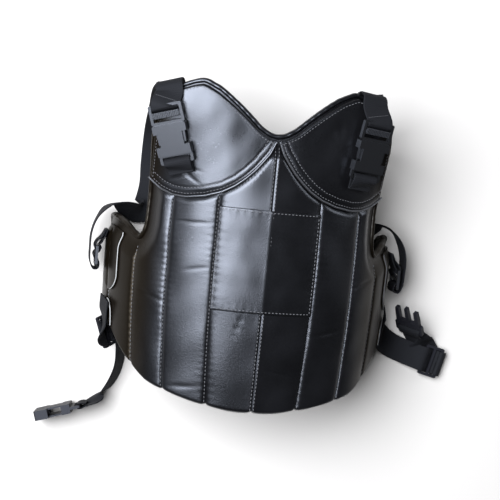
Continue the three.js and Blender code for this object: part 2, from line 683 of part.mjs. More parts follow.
// Vinyl tabs on the wings. Rows: [name, columns around, lowest and highest point of each column]
const tabTop = seatGap + sheetThickness;
const upperTabColumns = wingShares.slice(2, 5).map((share) => sideSeam + share * (wingReach - sideSeam));
const upperTabLow = 144;
const upperTabShares = lowShares.slice(5, 8);
const lowerTabFront = 246;
const lowerTabInset = 8;
const lowerTabHigh = 130;
const lowerTabRound = 14;
const lowerTabColumns = [lowerTabFront, lowerTabFront + 4, 260, 268, 281, 292];
const tabRows = [0, 0.25, 0.5, 0.75, 1];
const withMiddles = (list) => list.flatMap((v, i) => (i ? [(v + list[i - 1]) / 2, v] : [v]));
function upperTab(side) {
  const columns = withMiddles(upperTabColumns);
  const [first, last] = [columns[0], columns[columns.length - 1]];
  const grid = columns.map((a) => {
    const across = (2 * (a - first)) / (last - first) - 1;
    const low = upperTabLow + ((last - first) / 2) * (1 - Math.sqrt(1 - 0.96 * across * across));
    const above = upperTabShares.map((v) => hemEdge(a) + v * (wingTopEdge(a) - hemEdge(a)));
    return [low, (low + above[0]) / 2, ...above].map((up) => [side * a, up]);
  });
  return side > 0 ? grid : grid.reverse();
}
function lowerTab(side) {
  const grid = lowerTabColumns.map((a) => {
    const share = Math.min((a - lowerTabFront) / lowerTabRound, 1);
    const low = hemEdge(a) + lowerTabInset;
    const reach = (lowerTabHigh - low) * (0.35 + 0.65 * Math.sqrt(share * (2 - share)));
    return tabRows.map((v) => [side * a, low + v * reach]);
  });
  return side > 0 ? grid : grid.reverse();
}
for (const [name, side] of [["left", -1], ["right", 1]]) {
  add(`upper_tab_${name}`, sheetFrom([upperTab(side)], onPad(tabTop), onPad(seatGap)), vinyl);
  add(`lower_tab_${name}`, sheetFrom([lowerTab(side)], onPad(tabTop), onPad(seatGap)), vinyl);

  // Slider at the rear of the wing, and the webbing that holds it to the wing's edge
  const at = wingSliderAt(side);
  const slider = add(`wing_slider_${name}`, sliderGeometry(sliderLength, sliderThickness), plastic);
  placeAt(slider, at.place, at.across, at.along, at.normal);
  add(`wing_anchor_${name}`, ribbon(rowsOn(at, wingAnchorRows), webWidth, webThickness, 22), webbing);
}

// Directions for a loose piece of hardware: across and along the webbing, made square to each other
function facing(place, across, along) {
  const a = across.clone().normalize();
  const normal = a.clone().cross(along).normalize();
  return { place, across: a, along: normal.clone().cross(a), normal };
}
const setDown = (name, geometry, at) => placeAt(add(name, geometry, plastic), at.place, at.across, at.along, at.normal);

// Left waist strap: sewn on the wing, through its slider, on its edge along the surface to the loose female half
const leftSlider = facing(space(-201, 76, floorZ + 45), space(0.34, -0.94, 0), space(-0.57, -0.2, 0.8));
setDown("waist_slider_left", sliderGeometry(sliderLength, sliderThickness), leftSlider);
const leftSocket = facing(space(-293, -62, floorZ + 24.6), space(-0.12, 0.07, 0.99), space(-0.954, -0.299, 0));
setDown("waist_socket", socketGeometry(waistSocket), leftSocket);
const socketBack = -waistSocket.length - waistSocket.tail;
const leftStrap = [
  ...rowsInSpace([[-210, 131, 87, [1, 0, -0.25]], [-210, 112, 83, [1, 0, -0.25]], [-208, 97, 78, [1, 0, -0.15]]]),
  ...rowsOn(leftSlider, [
    [20, -7, 0, -1], [13, -4.2, 0, -1], [5.6, 0, -1, -0.2], [0, 4.2, 0, -1], [-5.6, 0, 1, -0.2],
    [-12, -4.2, 0, -1], [-18, -5, 0, -1],
  ]),
  ...rowsInSpace([
    [-181, 70, 27, [0.9, 0.3, 0.45]], [-175.5, 47, 20, [0.9, 0, 0.4]], [-177, 16, 18.5, [0.9, -0.15, 0.4]],
    [-189, -12, 19, [0.75, -0.55, 0.35]], [-204, -27, 20.6, [0.5, -0.85, 0.1]],
  ]),
  ...rowsOn(leftSocket, [
    [socketBack - 14, 1.4, 0, 1], [socketBack - 6, 2.4, 0, 1], [socketBack - 1, 3.7, 0, 1], [socketBack + 3, 3.6, 0.1, 1], [socketBack + 5.8, 2.5, 0.7, 0.7],
    [socketBack + 7, 0, 1, 0], [socketBack + 5.8, -2.5, 0.7, -0.7], [socketBack + 3, -3.6, 0.1, -1], [socketBack - 2, -3.6, 0, -1], [socketBack - 8, -1.4, 0, -1],
  ]),
];
add("waist_strap_left", ribbon(leftStrap, webWidth, webThickness, 80), webbing);

// Right waist strap: sewn on the wing, out to its slider on the surface, back under itself to the loose male half
const rightSlider = facing(space(310, 60, floorZ + 12), space(0.24, 0.971, 0), space(-0.971, 0.24, 0));
setDown("waist_slider_right", sliderGeometry(sliderLength, sliderThickness), rightSlider);
const waistPlugBase = 18;
const rightPlug = facing(space(262.5, 121, floorZ + 33), space(0.62, -0.13, 0.65), space(0.35, -0.8, -0.49));
setDown("waist_plug", plugGeometry(waistPlugBase, [6]), rightPlug);
const rightStrap = [
  ...rowsInSpace([
    [218.5, 136, 50, [1, 0, 0.1]], [220, 119, 40, [1, 0, 0.3]], [222, 103, 25, [0.8, 0.2, 0.55]],
    [229, 90, 14, [0.4, 0.1, 0.9]], [244, 80, 6, [0.05, 0, 1]], [264, 72.6, 8, [-0.1, 0, 1]],
  ]),
  ...rowsOn(rightSlider, [
    [24, 2.6, 0, 1], [17, 4.4, 0, 1], [12, 4.3, 0, 1], [5.6, 0, 0.9, 0.2], [0, -4.2, 0, 1], [-5.6, 0, -0.9, 0.2],
    [-13, 4.2, 0, 1], [-18.6, 0, -1, 0], [-13, -6.8, 0, -1], [-2, -7.6, 0, -1, 3], [9, -7.8, 0, -1, 11],
  ]),
  ...rowsInSpace([[298, 81, 6.5, [0, 0, -1]], [284, 93, 20, [0.35, 0.4, -0.75]]]),
  ...rowsOn(rightPlug, [
    [30, 3.6, 0, 1], [19, 4.3, 0, 1], [14.5, 4.5, -0.1, 1], [11.6, 3.2, -0.7, 0.7], [10.2, 0, -1, 0], [11.6, -3.2, -0.7, -0.7],
    [14.5, -4.5, -0.1, -1], [20, -4, 0, -1],
    [26, -0.6, 0, -1],
  ]),
];
add("waist_strap_right", ribbon(rightStrap, webWidth, webThickness, 92), webbing);

// The middle of the whole thing's footprint stands on the origin
const outline = new THREE.Box3().setFromObject(part, true);
part.position.set(-(outline.min.x + outline.max.x) / 2, -(outline.min.y + outline.max.y) / 2, -outline.min.z);

export default part;
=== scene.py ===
# Martial arts chest protector, lying on its back with the chest up. Metres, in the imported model's frame.
import math

import bmesh
import bpy
import numpy as np
from mathutils import Matrix, Vector


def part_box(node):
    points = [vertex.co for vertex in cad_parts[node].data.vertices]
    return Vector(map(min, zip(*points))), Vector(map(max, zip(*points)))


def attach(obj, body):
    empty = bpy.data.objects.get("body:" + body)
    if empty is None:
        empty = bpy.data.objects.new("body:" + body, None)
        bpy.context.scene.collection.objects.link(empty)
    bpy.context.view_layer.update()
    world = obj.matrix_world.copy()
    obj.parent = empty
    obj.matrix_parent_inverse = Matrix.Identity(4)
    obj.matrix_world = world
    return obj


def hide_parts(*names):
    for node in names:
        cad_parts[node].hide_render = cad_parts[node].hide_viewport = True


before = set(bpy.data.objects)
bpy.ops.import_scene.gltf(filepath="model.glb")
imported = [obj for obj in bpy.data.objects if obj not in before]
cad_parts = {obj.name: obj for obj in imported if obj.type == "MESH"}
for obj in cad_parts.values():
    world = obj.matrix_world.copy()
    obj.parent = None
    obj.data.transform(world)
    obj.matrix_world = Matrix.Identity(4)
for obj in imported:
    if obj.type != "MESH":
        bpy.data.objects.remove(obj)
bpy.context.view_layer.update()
bpy.ops.object.select_all(action="DESELECT")

# Camera: at the photo's angle, almost straight down, turned a little.
# The chest's crest, where the centre line meets the hem, is what its place is measured from.
MM = 0.001
shell_low, shell_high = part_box("padded_shell")
crest = Vector(((shell_low.x + shell_high.x) / 2, shell_low.y, 0.22078))
camera_place = Vector((-0.322316, 0.404321, 1.923743)) + crest
camera_right = Vector((0.98487754, 0.096686, 0.14376385))
camera_up = Vector((-0.08229798, 0.99128381, -0.10287592))
camera_back = camera_right.cross(camera_up).normalized()
camera_up = camera_back.cross(camera_right).normalized()
camera_data = bpy.data.cameras.new("camera")
focal_share = 1422.7 / 500.0
camera_data.sensor_width = 36.0
camera_data.lens = 36.0 * focal_share
camera_data.clip_end = 20.0
camera = bpy.data.objects.new("camera", camera_data)
bpy.context.scene.collection.objects.link(camera)
turn = Matrix((camera_right, camera_up, camera_back)).transposed()
camera.matrix_world = Matrix.Translation(camera_place) @ turn.to_4x4()
bpy.context.scene.camera = camera

# Floor and light: a pale plain floor, one large soft light up on the left and a weak one low on the
# right, so that the left half of the chest shines and the right half stays dark.
bpy.context.scene.view_settings.view_transform = "Standard"
bpy.ops.mesh.primitive_plane_add(size=14.0, location=(0.0, 0.0, -0.0004))
floor = bpy.context.object
floor.name = "floor"
floor_paint = bpy.data.materials.new("floor_paint")
floor_paint.use_nodes = True
floor_shader = floor_paint.node_tree.nodes["Principled BSDF"]
floor_shader.inputs["Base Color"].default_value = (0.322, 0.31, 0.3, 1.0)
floor_shader.inputs["Roughness"].default_value = 0.9
floor_shader.inputs["Specular IOR Level"].default_value = 0.1
floor.data.materials.append(floor_paint)
world = bpy.data.worlds.new("world")
world.use_nodes = True
world.node_tree.nodes["Background"].inputs["Color"].default_value = (1.0, 1.0, 1.0, 1.0)
world.node_tree.nodes["Background"].inputs["Strength"].default_value = 0.08
bpy.context.scene.world = world
# Rows: name, place, size across, power
for name, place, across, power in (
    ("key_light", (-1.36, 0.56, 2.44), 1.9, 425.0),
    ("side_light", (3.0, 1.2, 1.5), 1.2, 40.0),
):
    light_data = bpy.data.lights.new(name, "AREA")
    light_data.size = across
    light_data.energy = power
    light_data.color = (0.93, 0.96, 1.0)
    light = bpy.data.objects.new(name, light_data)
    bpy.context.scene.collection.objects.link(light)
    light.location = place
    light.rotation_euler = (Vector((0.0, 0.0, 0.1)) - light.location).to_track_quat("-Z", "Y").to_euler()

# The flat pattern of the protector and how it wraps the trunk, in millimetres: around from the centre
# line, up from the hem and out from the surface.
body_length = 456.0
neck_half = 106.0
neck_depth = 68.0
armhole_half = 187.0
shoulder_half = 168.0
shoulder_drop = 22.0
armhole_dip = 228.0
side_seam = 198.0
wing_reach = 345.0
wing_top = 252.0
chest_line = 294.0
corner_height = body_length - shoulder_drop
neck_bottom = body_length - neck_depth
seams = (0.0, 72.0, 140.0, side_seam, 268.0, wing_reach)


def curve(rows, share):
    """Reads a short table of rows (share, value)."""
    places, values = zip(*rows)
    return np.interp(share, places, values)


NECKLINE = (
    (0, 1), (0.1, 0.975), (0.24, 0.85), (0.38, 0.66), (0.54, 0.46), (0.7, 0.28), (0.84, 0.14), (1, 0.04),
)
SHOULDER = ((0, 0.1), (0.15, 0), (0.35, 0.12), (0.6, 0.38), (0.8, 0.65), (1, 1))
ARMHOLE = (
    (0, 1.059), (0.05, 1.018), (0.12, 1), (0.36, 0.995), (0.54, 0.975), (0.75, 0.965), (0.9, 0.94), (1, 0.9),
)
FRONT_HEM = ((0, 0), (0.18, 0.006), (0.36, 0.022), (0.53, 0.052), (0.71, 0.085), (0.85, 0.125), (1, 0.2))
WING_HEM = ((0, 0.18), (0.15, 0.255), (0.32, 0.335), (0.52, 0.39), (0.76, 0.43), (0.92, 0.47), (1, 0.54))
WING_EDGE = (
    (0, 0.905), (0.09, 0.925), (0.23, 0.965), (0.42, 0.992), (0.62, 1), (0.82, 0.985), (0.93, 0.945),
    (1, 0.88),
)
CHEST_EDGE = (
    (0, 0.96), (0.016, 0.91), (0.053, 0.74), (0.1, 0.61), (0.15, 0.48), (0.214, 0.35), (0.283, 0.235),
    (0.374, 0.13), (0.5, 0.045), (0.64, 0), (0.75, 0.01), (0.855, 0.075), (0.935, 0.17), (1, 0.26),
)


def shoulder_top(around):
    a = np.abs(around)
    neck = body_length - neck_depth * curve(NECKLINE, a / neck_half)
    outer = body_length - shoulder_drop * curve(SHOULDER, (a - neck_half) / (shoulder_half - neck_half))
    return np.where(a <= neck_half, neck, outer)


def armhole_edge(up):
    return armhole_half * curve(ARMHOLE, (up - armhole_dip) / (corner_height - armhole_dip))


def side_edge(up):
    return np.where(up >= armhole_dip, armhole_edge(up), side_seam)


def hem_edge(around):
    a = np.abs(around)
    front = armhole_dip * curve(FRONT_HEM, a / side_seam)
    wing = wing_top * curve(WING_HEM, (a - side_seam) / (wing_reach - side_seam))
    return np.where(a <= side_seam, front, wing)


def wing_top_edge(around):
    return wing_top * curve(WING_EDGE, (np.abs(around) - side_seam) / (wing_reach - side_seam))


def chest_edge(around):
    return chest_line + (neck_bottom - chest_line) * curve(CHEST_EDGE, np.abs(around) / armhole_half)


def ease(t):
    c = np.clip(t, 0.0, 1.0)
    return c * c * (3.0 - 2.0 * c)


def curl(bend, reach):
    """The angle by which the shell has turned down at a reach from the centre line."""
    front_radius = 236.0
    tightening = 0.09
    return bend * reach / front_radius * (1.0 + tightening * (reach / 200.0) ** 2)


def wrap(around, up, out):
    """Pattern millimetres to metres in the frame: an array of points."""
    around, up, out = (np.asarray(v, float) for v in np.broadcast_arrays(around, up, out))

    # The width is 0.94 at the hem, 1 at 0.4 of the length and 0.98 at 0.8 of it
    t = up / body_length
    taper = 0.94 * (t - 0.4) * (t - 0.8) / 0.32 + t * (t - 0.8) / (0.4 * -0.4)
    taper = taper + 0.98 * t * (t - 0.4) / (0.8 * 0.4)
    bend = 1.0 - 0.55 * ease((up - 280.0) / 150.0)
    reach = np.abs(around)
    steps = 40
    x = np.zeros_like(reach)
    z = np.zeros_like(reach)
    for i in range(steps):
        angle = curl(bend, reach * (i + 0.5) / steps)
        x += np.cos(angle) * reach / steps
        z -= np.sin(angle) * reach / steps
    angle = curl(bend, reach)
    side = np.where(around < 0, -1.0, 1.0)
    points = np.stack([side * (x * taper + out * np.sin(angle)), up, z * taper + out * np.cos(angle)], -1)
    return points * MM + np.array(crest)


# The bound edge as a line on the pattern: wing end, wing top, armhole, shoulder and neck of one side
wing_end = np.linspace(float(hem_edge(wing_reach)), float(wing_top_edge(wing_reach)), 30)
edge_half = [(wing_reach, u) for u in wing_end]
edge_half += [(a, float(wing_top_edge(a))) for a in np.linspace(wing_reach, side_seam, 60)[1:]]
edge_half += [(float(armhole_edge(u)), u) for u in np.linspace(armhole_dip, corner_height, 60)[1:]]
edge_half += [(a, float(shoulder_top(a))) for a in np.linspace(shoulder_half, 0.0, 70)[1:]]
edge_half = np.array(edge_half)
edge_line = np.vstack([edge_half, edge_half[:-1][::-1] * [-1.0, 1.0]])


def bound_distance(around, up):
    """How far a pattern point lies from the bound edge."""
    a = np.abs(np.asarray(around, float)).ravel()
    u = np.asarray(up, float).ravel()
    nearest = np.full(a.shape, 1e9)
    for p, q in zip(edge_half[:-1], edge_half[1:]):
        d = q - p
        t = np.clip(((a - p[0]) * d[0] + (u - p[1]) * d[1]) / max(d @ d, 1e-9), 0.0, 1.0)
        nearest = np.minimum(nearest, np.hypot(a - p[0] - t * d[0], u - p[1] - t * d[1]))
    return nearest.reshape(np.shape(around))


def ripple(x, y, seed):
    """Smooth seeded unevenness, about -1 to 1."""
    rng = np.random.default_rng(seed)
    total = np.zeros(np.shape(x))
    for _ in range(9):
        angle = rng.uniform(0, 2 * math.pi)
        wave = rng.uniform(0.7, 1.6)
        total += np.sin((x * math.cos(angle) + y * math.sin(angle)) * wave + rng.uniform(0, 6.28))
    return total / 3.6


def mesh_from(name, points, faces, uv=None):
    """A smooth mesh piece from points in metres, with a place on the pattern for each point if given."""
    data = bpy.data.meshes.new(name)
    data.from_pydata([tuple(p) for p in points], [], [tuple(f) for f in faces])
    data.update()
    obj = bpy.data.objects.new(name, data)
    bpy.context.scene.collection.objects.link(obj)
    if uv is not None:
        layer = data.uv_layers.new(name="pattern")
        index = np.zeros(len(data.loops), np.int32)
        data.loops.foreach_get("vertex_index", index)
        layer.data.foreach_set("uv", np.asarray(uv, np.float32)[index].ravel())
    data.shade_smooth()
    return obj


def grid_faces(rows, columns, start=0, flip=False):
    """The quads of a grid of points that starts at a point number."""
    i, j = np.meshgrid(np.arange(rows - 1), np.arange(columns - 1), indexing="ij")
    a = start + i * columns + j
    quads = np.stack([a, a + columns, a + columns + 1, a + 1], -1).reshape(-1, 4)
    return quads[:, ::-1] if flip else quads


def skin_faces(rings, sides):
    """The quads between the rings of a skin, and a face at each of its ends."""
    i, j = np.meshgrid(np.arange(rings - 1), np.arange(sides), indexing="ij")
    a, b = i * sides + j, i * sides + (j + 1) % sides
    quads = np.stack([a, b, b + sides, a + sides], -1).reshape(-1, 4)
    last = (rings - 1) * sides
    return [*quads, range(sides), range(last, last + sides)]


def run_along(line):
    """The length run at each point of a line."""
    return np.concatenate([[0], np.cumsum(np.linalg.norm(np.diff(line, axis=0), axis=1))])


def clean(obj, weld_distance=0.0):
    """Welds what lies within the distance, if one is given, and turns all faces outward."""
    work = bmesh.new()
    work.from_mesh(obj.data)
    if weld_distance:
        bmesh.ops.remove_doubles(work, verts=work.verts, dist=weld_distance)
        bmesh.ops.dissolve_degenerate(work, edges=work.edges, dist=1e-7)
    bmesh.ops.recalc_face_normals(work, faces=work.faces)
    work.to_mesh(obj.data)
    work.free()
    obj.data.shade_smooth()


def two_faced(name, cover, under, flip):
    """A closed flat piece from two grids of points, its upper and its lower face."""
    rows, columns = cover.shape[:2]
    count = rows * columns
    border = [(0, k) for k in range(columns)]
    border += [(k, columns - 1) for k in range(1, rows)]
    border += [(rows - 1, k) for k in range(columns - 2, -1, -1)]
    border += [(k, 0) for k in range(rows - 2, 0, -1)]
    flat = [r * columns + c for r, c in border]
    walls = [(p, q, q + count, p + count) for p, q in zip(flat, flat[1:] + flat[:1])]
    both = [*grid_faces(rows, columns, 0, flip), *grid_faces(rows, columns, count, not flip)]
    piece = mesh_from(name, [*cover.reshape(-1, 3), *under.reshape(-1, 3)], both + walls)
    clean(piece, 1e-6)
    return piece


# Vinyl: black semi-gloss faux leather with a fine pebbled grain. The same film covers the body, the
# panels, the patch and the tabs, and the binding is a strip of it with a flatter grain.
class Socket:
    """Wraps a socket so that shader maths can be written with operators."""

    def __init__(self, tree, socket):
        self.tree = tree
        self.socket = socket

    def math(self, operation, *others):
        node = self.tree.nodes.new("ShaderNodeMath")
        node.operation = operation
        for i, value in enumerate((self, *others)):
            if isinstance(value, Socket):
                self.tree.links.new(value.socket, node.inputs[i])
            else:
                node.inputs[i].default_value = value
        return Socket(self.tree, node.outputs[0])

    def __add__(self, other):
        return self.math("ADD", other)

    def __sub__(self, other):
        return self.math("SUBTRACT", other)

    def __mul__(self, other):
        return self.math("MULTIPLY", other)

    def between(self, low, high, to_low, to_high):
        node = self.tree.nodes.new("ShaderNodeMapRange")
        node.interpolation_type = "SMOOTHSTEP"
        self.tree.links.new(self.socket, node.inputs["Value"])
        for key, value in zip(("From Min", "From Max", "To Min", "To Max"), (low, high, to_low, to_high)):
            node.inputs[key].default_value = value
        return Socket(self.tree, node.outputs["Result"])


def shader(name, colour, roughness, specular=0.5):
    """A new material with its node tree and its main shader; its shine has a painted blue tint that stands
    in for the bluish light in the highlights.
    """
    paint = bpy.data.materials.new(name)
    paint.use_nodes = True
    bsdf = paint.node_tree.nodes["Principled BSDF"]
    bsdf.inputs["Base Color"].default_value = (*colour, 1.0)
    bsdf.inputs["Roughness"].default_value = roughness
    bsdf.inputs["Specular IOR Level"].default_value = specular
    # Painted blue tint of the highlights, for the colour of the light
    bsdf.inputs["Specular Tint"].default_value = (0.82, 0.87, 1.0, 1.0)
    return paint, paint.node_tree, bsdf


def texture(tree, kind, scale, coords, **settings):
    node = tree.nodes.new(kind)
    node.inputs["Scale"].default_value = scale
    for key, value in settings.items():
        node.inputs[key].default_value = value
    tree.links.new(coords, node.inputs["Vector"])
    return node


def bump(tree, bsdf, height, strength, distance):
    node = tree.nodes.new("ShaderNodeBump")
    node.inputs["Strength"].default_value = strength
    node.inputs["Distance"].default_value = distance
    tree.links.new(height.socket, node.inputs["Height"])
    tree.links.new(node.outputs["Normal"], bsdf.inputs["Normal"])
    return node


def two_tones(tree, bsdf, factor, low, high):
    """A base colour between two tones."""
    mix = tree.nodes.new("ShaderNodeMix")
    mix.data_type = "RGBA"
    mix.inputs["A"].default_value = (*low, 1.0)
    mix.inputs["B"].default_value = (*high, 1.0)
    tree.links.new(factor.socket, mix.inputs["Factor"])
    tree.links.new(mix.outputs["Result"], bsdf.inputs["Base Color"])


def leather(name, colour, pale, roughness, grain):
    """Vinyl film: two near-black tones in broad clouds, with a fine grain, and painted shade towards the
    flanks.
    """
    paint, tree, bsdf = shader(name, colour, roughness)
    coords = tree.nodes.new("ShaderNodeTexCoord").outputs["Object"]
    broad = texture(tree, "ShaderNodeTexNoise", 14.0, coords, Detail=3.0)
    fine = texture(tree, "ShaderNodeTexNoise", 420.0, coords, Detail=4.0, Roughness=0.6)
    cells = texture(tree, "ShaderNodeTexVoronoi", 900.0, coords)
    clouds = Socket(tree, broad.outputs["Fac"]).between(0.35, 0.7, 0.0, 1.0)
    two_tones(tree, bsdf, clouds, colour, pale)
    grit = Socket(tree, fine.outputs["Fac"]) * 0.14 + (roughness - 0.13)
    rough = Socket(tree, broad.outputs["Fac"]) * 0.12 + grit
    tree.links.new(rough.socket, bsdf.inputs["Roughness"])
    height = Socket(tree, cells.outputs["Distance"]) * 0.55 + Socket(tree, fine.outputs["Fac"]) * 0.6
    grained = bump(tree, bsdf, height, grain, 0.0005)
    bsdf.inputs["Specular IOR Level"].default_value = 0.35

    # Towards the flanks the film is painted duller and a little brown: painted shade where the flanks turn
    # from the light, and a painted warm reflection
    flank_shade_shader = tree.nodes.new("ShaderNodeBsdfPrincipled")
    flank_shade_shader.inputs["Base Color"].default_value = (0.0022, 0.0016, 0.001, 1.0)
    flank_shade_shader.inputs["Roughness"].default_value = 0.36
    flank_shade_shader.inputs["Specular IOR Level"].default_value = 0.1
    flank_shade_shader.inputs["Specular Tint"].default_value = (1.0, 0.86, 0.68, 1.0)
    tree.links.new(grained.outputs["Normal"], flank_shade_shader.inputs["Normal"])
    # Mask for the painted flank shade: it grows with the distance from the middle
    place = tree.nodes.new("ShaderNodeSeparateXYZ")
    tree.links.new(coords, place.inputs["Vector"])
    reach = (Socket(tree, place.outputs["X"]) - crest.x).math("ABSOLUTE")
    flank_shade_mix = tree.nodes.new("ShaderNodeMixShader")
    tree.links.new(reach.between(0.138, 0.168, 0.0, 1.0).socket, flank_shade_mix.inputs["Fac"])
    tree.links.new(bsdf.outputs["BSDF"], flank_shade_mix.inputs[1])
    tree.links.new(flank_shade_shader.outputs["BSDF"], flank_shade_mix.inputs[2])
    tree.links.new(flank_shade_mix.outputs["Shader"], tree.nodes["Material Output"].inputs["Surface"])
    return paint


vinyl = leather("vinyl", (0.0011, 0.0011, 0.0013), (0.0021, 0.0021, 0.0025), 0.31, 0.26)
edging = leather("edging", (0.0011, 0.0011, 0.0013), (0.0021, 0.0021, 0.0025), 0.3, 0.2)

# Thread: grey, slightly shiny, the same in every seam. Each stitch is a short bead of thread that dips
# into the vinyl at both ends.
thread, _, _ = shader("thread", (0.062, 0.062, 0.066), 0.6, 0.25)


def tube_mesh(name, path, radius, sides, paint):
    """A round closed tube along a path."""
    path = np.asarray(path, float)
    forward = np.gradient(path, axis=0)
    forward /= np.linalg.norm(forward, axis=1)[:, None]
    side = np.cross(forward, [0.31, 0.52, 0.79])
    side /= np.linalg.norm(side, axis=1)[:, None]
    up = np.cross(side, forward)
    turn = np.arange(sides) * 2 * math.pi / sides
    rings = (
        path[:, None, :]
        + np.cos(turn)[None, :, None] * side[:, None, :] * radius
        + np.sin(turn)[None, :, None] * up[:, None, :] * radius
    )
    obj = mesh_from(name, rings.reshape(-1, 3), skin_faces(len(path), sides))
    clean(obj, 1e-6)
    obj.data.materials.append(paint)
    return obj


def stitches(name, lines, pitch=5.4, length=3.3, radius=0.5, lift=0.2):
    """Sewn rows: lines are lists of (place, outward) along a surface, in metres."""
    points, faces = [], []
    sides = 6
    ring_places = (-1.0, -0.8, 0.0, 0.8, 1.0)
    ring_sizes = (0.25, 0.85, 1.0, 0.85, 0.25)
    ring_drops = (0.9, 0.25, 0.0, 0.25, 0.9)
    for places, outward in lines:
        places = np.asarray(places, float)
        outward = np.asarray(outward, float)
        run = run_along(places)
        for middle in np.arange(pitch * 0.5, run[-1] / MM - pitch * 0.4, pitch):
            start_at, end_at = (
                np.array([np.interp((middle + k * length / 2) * MM, run, places[:, c]) for c in range(3)])
                for k in (-1, 1)
            )
            out = np.array([np.interp(middle * MM, run, outward[:, c]) for c in range(3)])
            out /= np.linalg.norm(out)
            forward = end_at - start_at
            reach = np.linalg.norm(forward)
            if reach < 1e-5:
                continue
            forward /= reach
            side = np.cross(forward, out)
            first = len(points)
            for place, size, drop in zip(ring_places, ring_sizes, ring_drops):
                centre = (start_at + end_at) / 2 + forward * place * reach / 2
                centre = centre + out * (lift - drop * radius) * MM
                for k in range(sides):
                    turn = 2 * math.pi * k / sides
                    offset = (side * math.cos(turn) + out * math.sin(turn)) * radius * size * MM
                    points.append(centre + offset)
            for r in range(len(ring_places) - 1):
                for k in range(sides):
                    p, q = first + r * sides + k, first + r * sides + (k + 1) % sides
                    faces.append((p, p + sides, q + sides, q))
            faces.append(tuple(first + k for k in range(sides)))
            end = first + (len(ring_places) - 1) * sides
            faces.append(tuple(end + k for k in range(sides))[::-1])
    obj = mesh_from(name, points, faces)
    clean(obj)
    obj.data.materials.append(thread)
    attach(obj, "root")
    return obj


def on_surface(around, up, height):
    """Places and outward directions along a row of pattern points, for a height function or number."""
    around, up = (np.asarray(v, float) for v in np.broadcast_arrays(around, up))
    out = height(around, up) if callable(height) else np.full(around.shape, float(height))
    places = wrap(around, up, out)
    outward = wrap(around, up, out + 1.0) - places
    return places, outward / np.linalg.norm(outward, axis=-1)[..., None]


# Padded body: foam in a vinyl cover, sewn into upright channels, with side wings that fold back.
# Its edges are pinched flat where the binding goes, and rounded over at the hem. The middle stands
# up a little as a fold from neck to hem.
rim_width = 12.0
rim_fade = 26.0
channel_crown = 2.9


def belly(around, up):
    """How far the front sinks back towards the hem, away from the sides."""
    return 9.0 * np.clip((210.0 - up) / 210.0, 0.0, 1.0) ** 2 * (1 - ease((np.abs(around) - 70.0) / 100.0))


def channel_at(a):
    """Which channel a reach from the centre line lies in, and the share of the way across it."""
    i = np.clip(np.searchsorted(seams, a, side="right") - 1, 0, len(seams) - 2)
    low = np.array(seams)[i]
    high = np.array(seams)[i + 1]
    return i, np.clip((a - low) / (high - low), 0.0, 1.0)


def pad_top(around, up, detail=True):
    """Height of the body's upper face over the pattern, with its creases and puckers if detail is on."""
    a = np.abs(around)
    edge_fade = ease((bound_distance(a, up) - rim_width * 0.7) / rim_fade)
    i, share = channel_at(a)
    arch = np.where(i == 0, 1 - share**18, 1 - np.abs(2 * share - 1) ** 16)
    hem = up - hem_edge(a)
    hem_fade = ease((hem + 4.0) / 10.0)
    chest_fade = ease((chest_edge(a) - up) / 9.0)
    cushion = 1.4 * np.where(i == 0, 1 - share**2, 1 - (2 * share - 1) ** 2)
    fold = 2.6 * np.exp(-a / 13.0) - 1.3 * np.exp(-((a / 1.5) ** 2))
    height = (channel_crown * arch + cushion + fold) * edge_fade * hem_fade * chest_fade
    height = height - 4.0 * (1 - edge_fade) - belly(around, up)
    if detail:
        loose = edge_fade * chest_fade
        height = height + 1.0 * arch * ripple(around / 30.0, up / 52.0, 3) * loose
        height = height + 0.35 * ripple(around / 9.0, up / 13.0, 8) * loose * arch
        for k, seam in enumerate(seams[1:5]):
            near = np.exp(-np.abs(a - seam) / 5.5) * (1 - np.exp(-np.abs(a - seam) / 0.9))
            side = np.where(around < 0, 1.0, 2.0)
            wave = np.sin(up / 1.45 + 1.7 * np.sin(up / 17.0 + k + side) + side * k)
            strength = 0.6 + 0.4 * np.sin(up / 37.0 + 2.1 * k + side)
            height = height + 0.34 * near * wave * strength * loose
        # Rows: around, up, half length across and up, depth, lean
        for at, level, wide, tall, depth, lean in (
            (-108.0, 259.0, 26.0, 1.6, 0.9, 0.05), (-30.0, 127.0, 1.4, 16.0, 0.8, -0.3),
            (-96.0, 196.0, 16.0, 2.2, 0.5, 0.25), (30.0, 60.0, 18.0, 2.4, 0.6, -0.2),
            (100.0, 118.0, 20.0, 2.6, 0.6, 0.2), (-164.0, 150.0, 18.0, 3.0, 0.7, -0.25),
            (165.0, 190.0, 16.0, 3.0, 0.8, 0.3), (-106.0, 30.0, 20.0, 2.6, 0.7, 0.1),
        ):
            across = (around - at) + (up - level) * lean * (tall > wide)
            height_at = (up - level) - (around - at) * lean * (tall <= wide)
            crease = np.exp(-((across / wide) ** 2) - (height_at / tall) ** 2)
            height = height - depth * crease * loose
    return height


def pad_bottom(around, up):
    """Height of the body's lower face over the pattern."""
    inside = np.minimum(bound_distance(around, up) - rim_width, up - hem_edge(around))
    return -10.0 - 10.0 * ease(inside / rim_fade) - belly(around, up)


def rolled(around, up, height):
    """Brings a face of the pad down to its edge in a rounded end."""
    bound = bound_distance(around, up)
    hem = up - hem_edge(around)
    middle = -7.0 - belly(around, up)
    t = np.clip(np.minimum(hem * 1.7, bound) / 7.0, 0.0, 1.0)
    return middle + (height - middle) * np.sqrt(1 - (1 - t) ** 2)


def hem_bulge(around, up):
    """How far a channel's end swells down past the seams beside it."""
    a = np.abs(around)
    share = channel_at(a)[1]
    swell = 1 - np.abs(2 * share - 1) ** 3
    pinch = np.exp(-(np.minimum(share, 1 - share) * 68.0 / 3.0) ** 2)
    return (2.4 * swell * (1.1 - 0.5 * share) - 1.6 * pinch) * np.exp(-(up - hem_edge(a)) / 16.0)


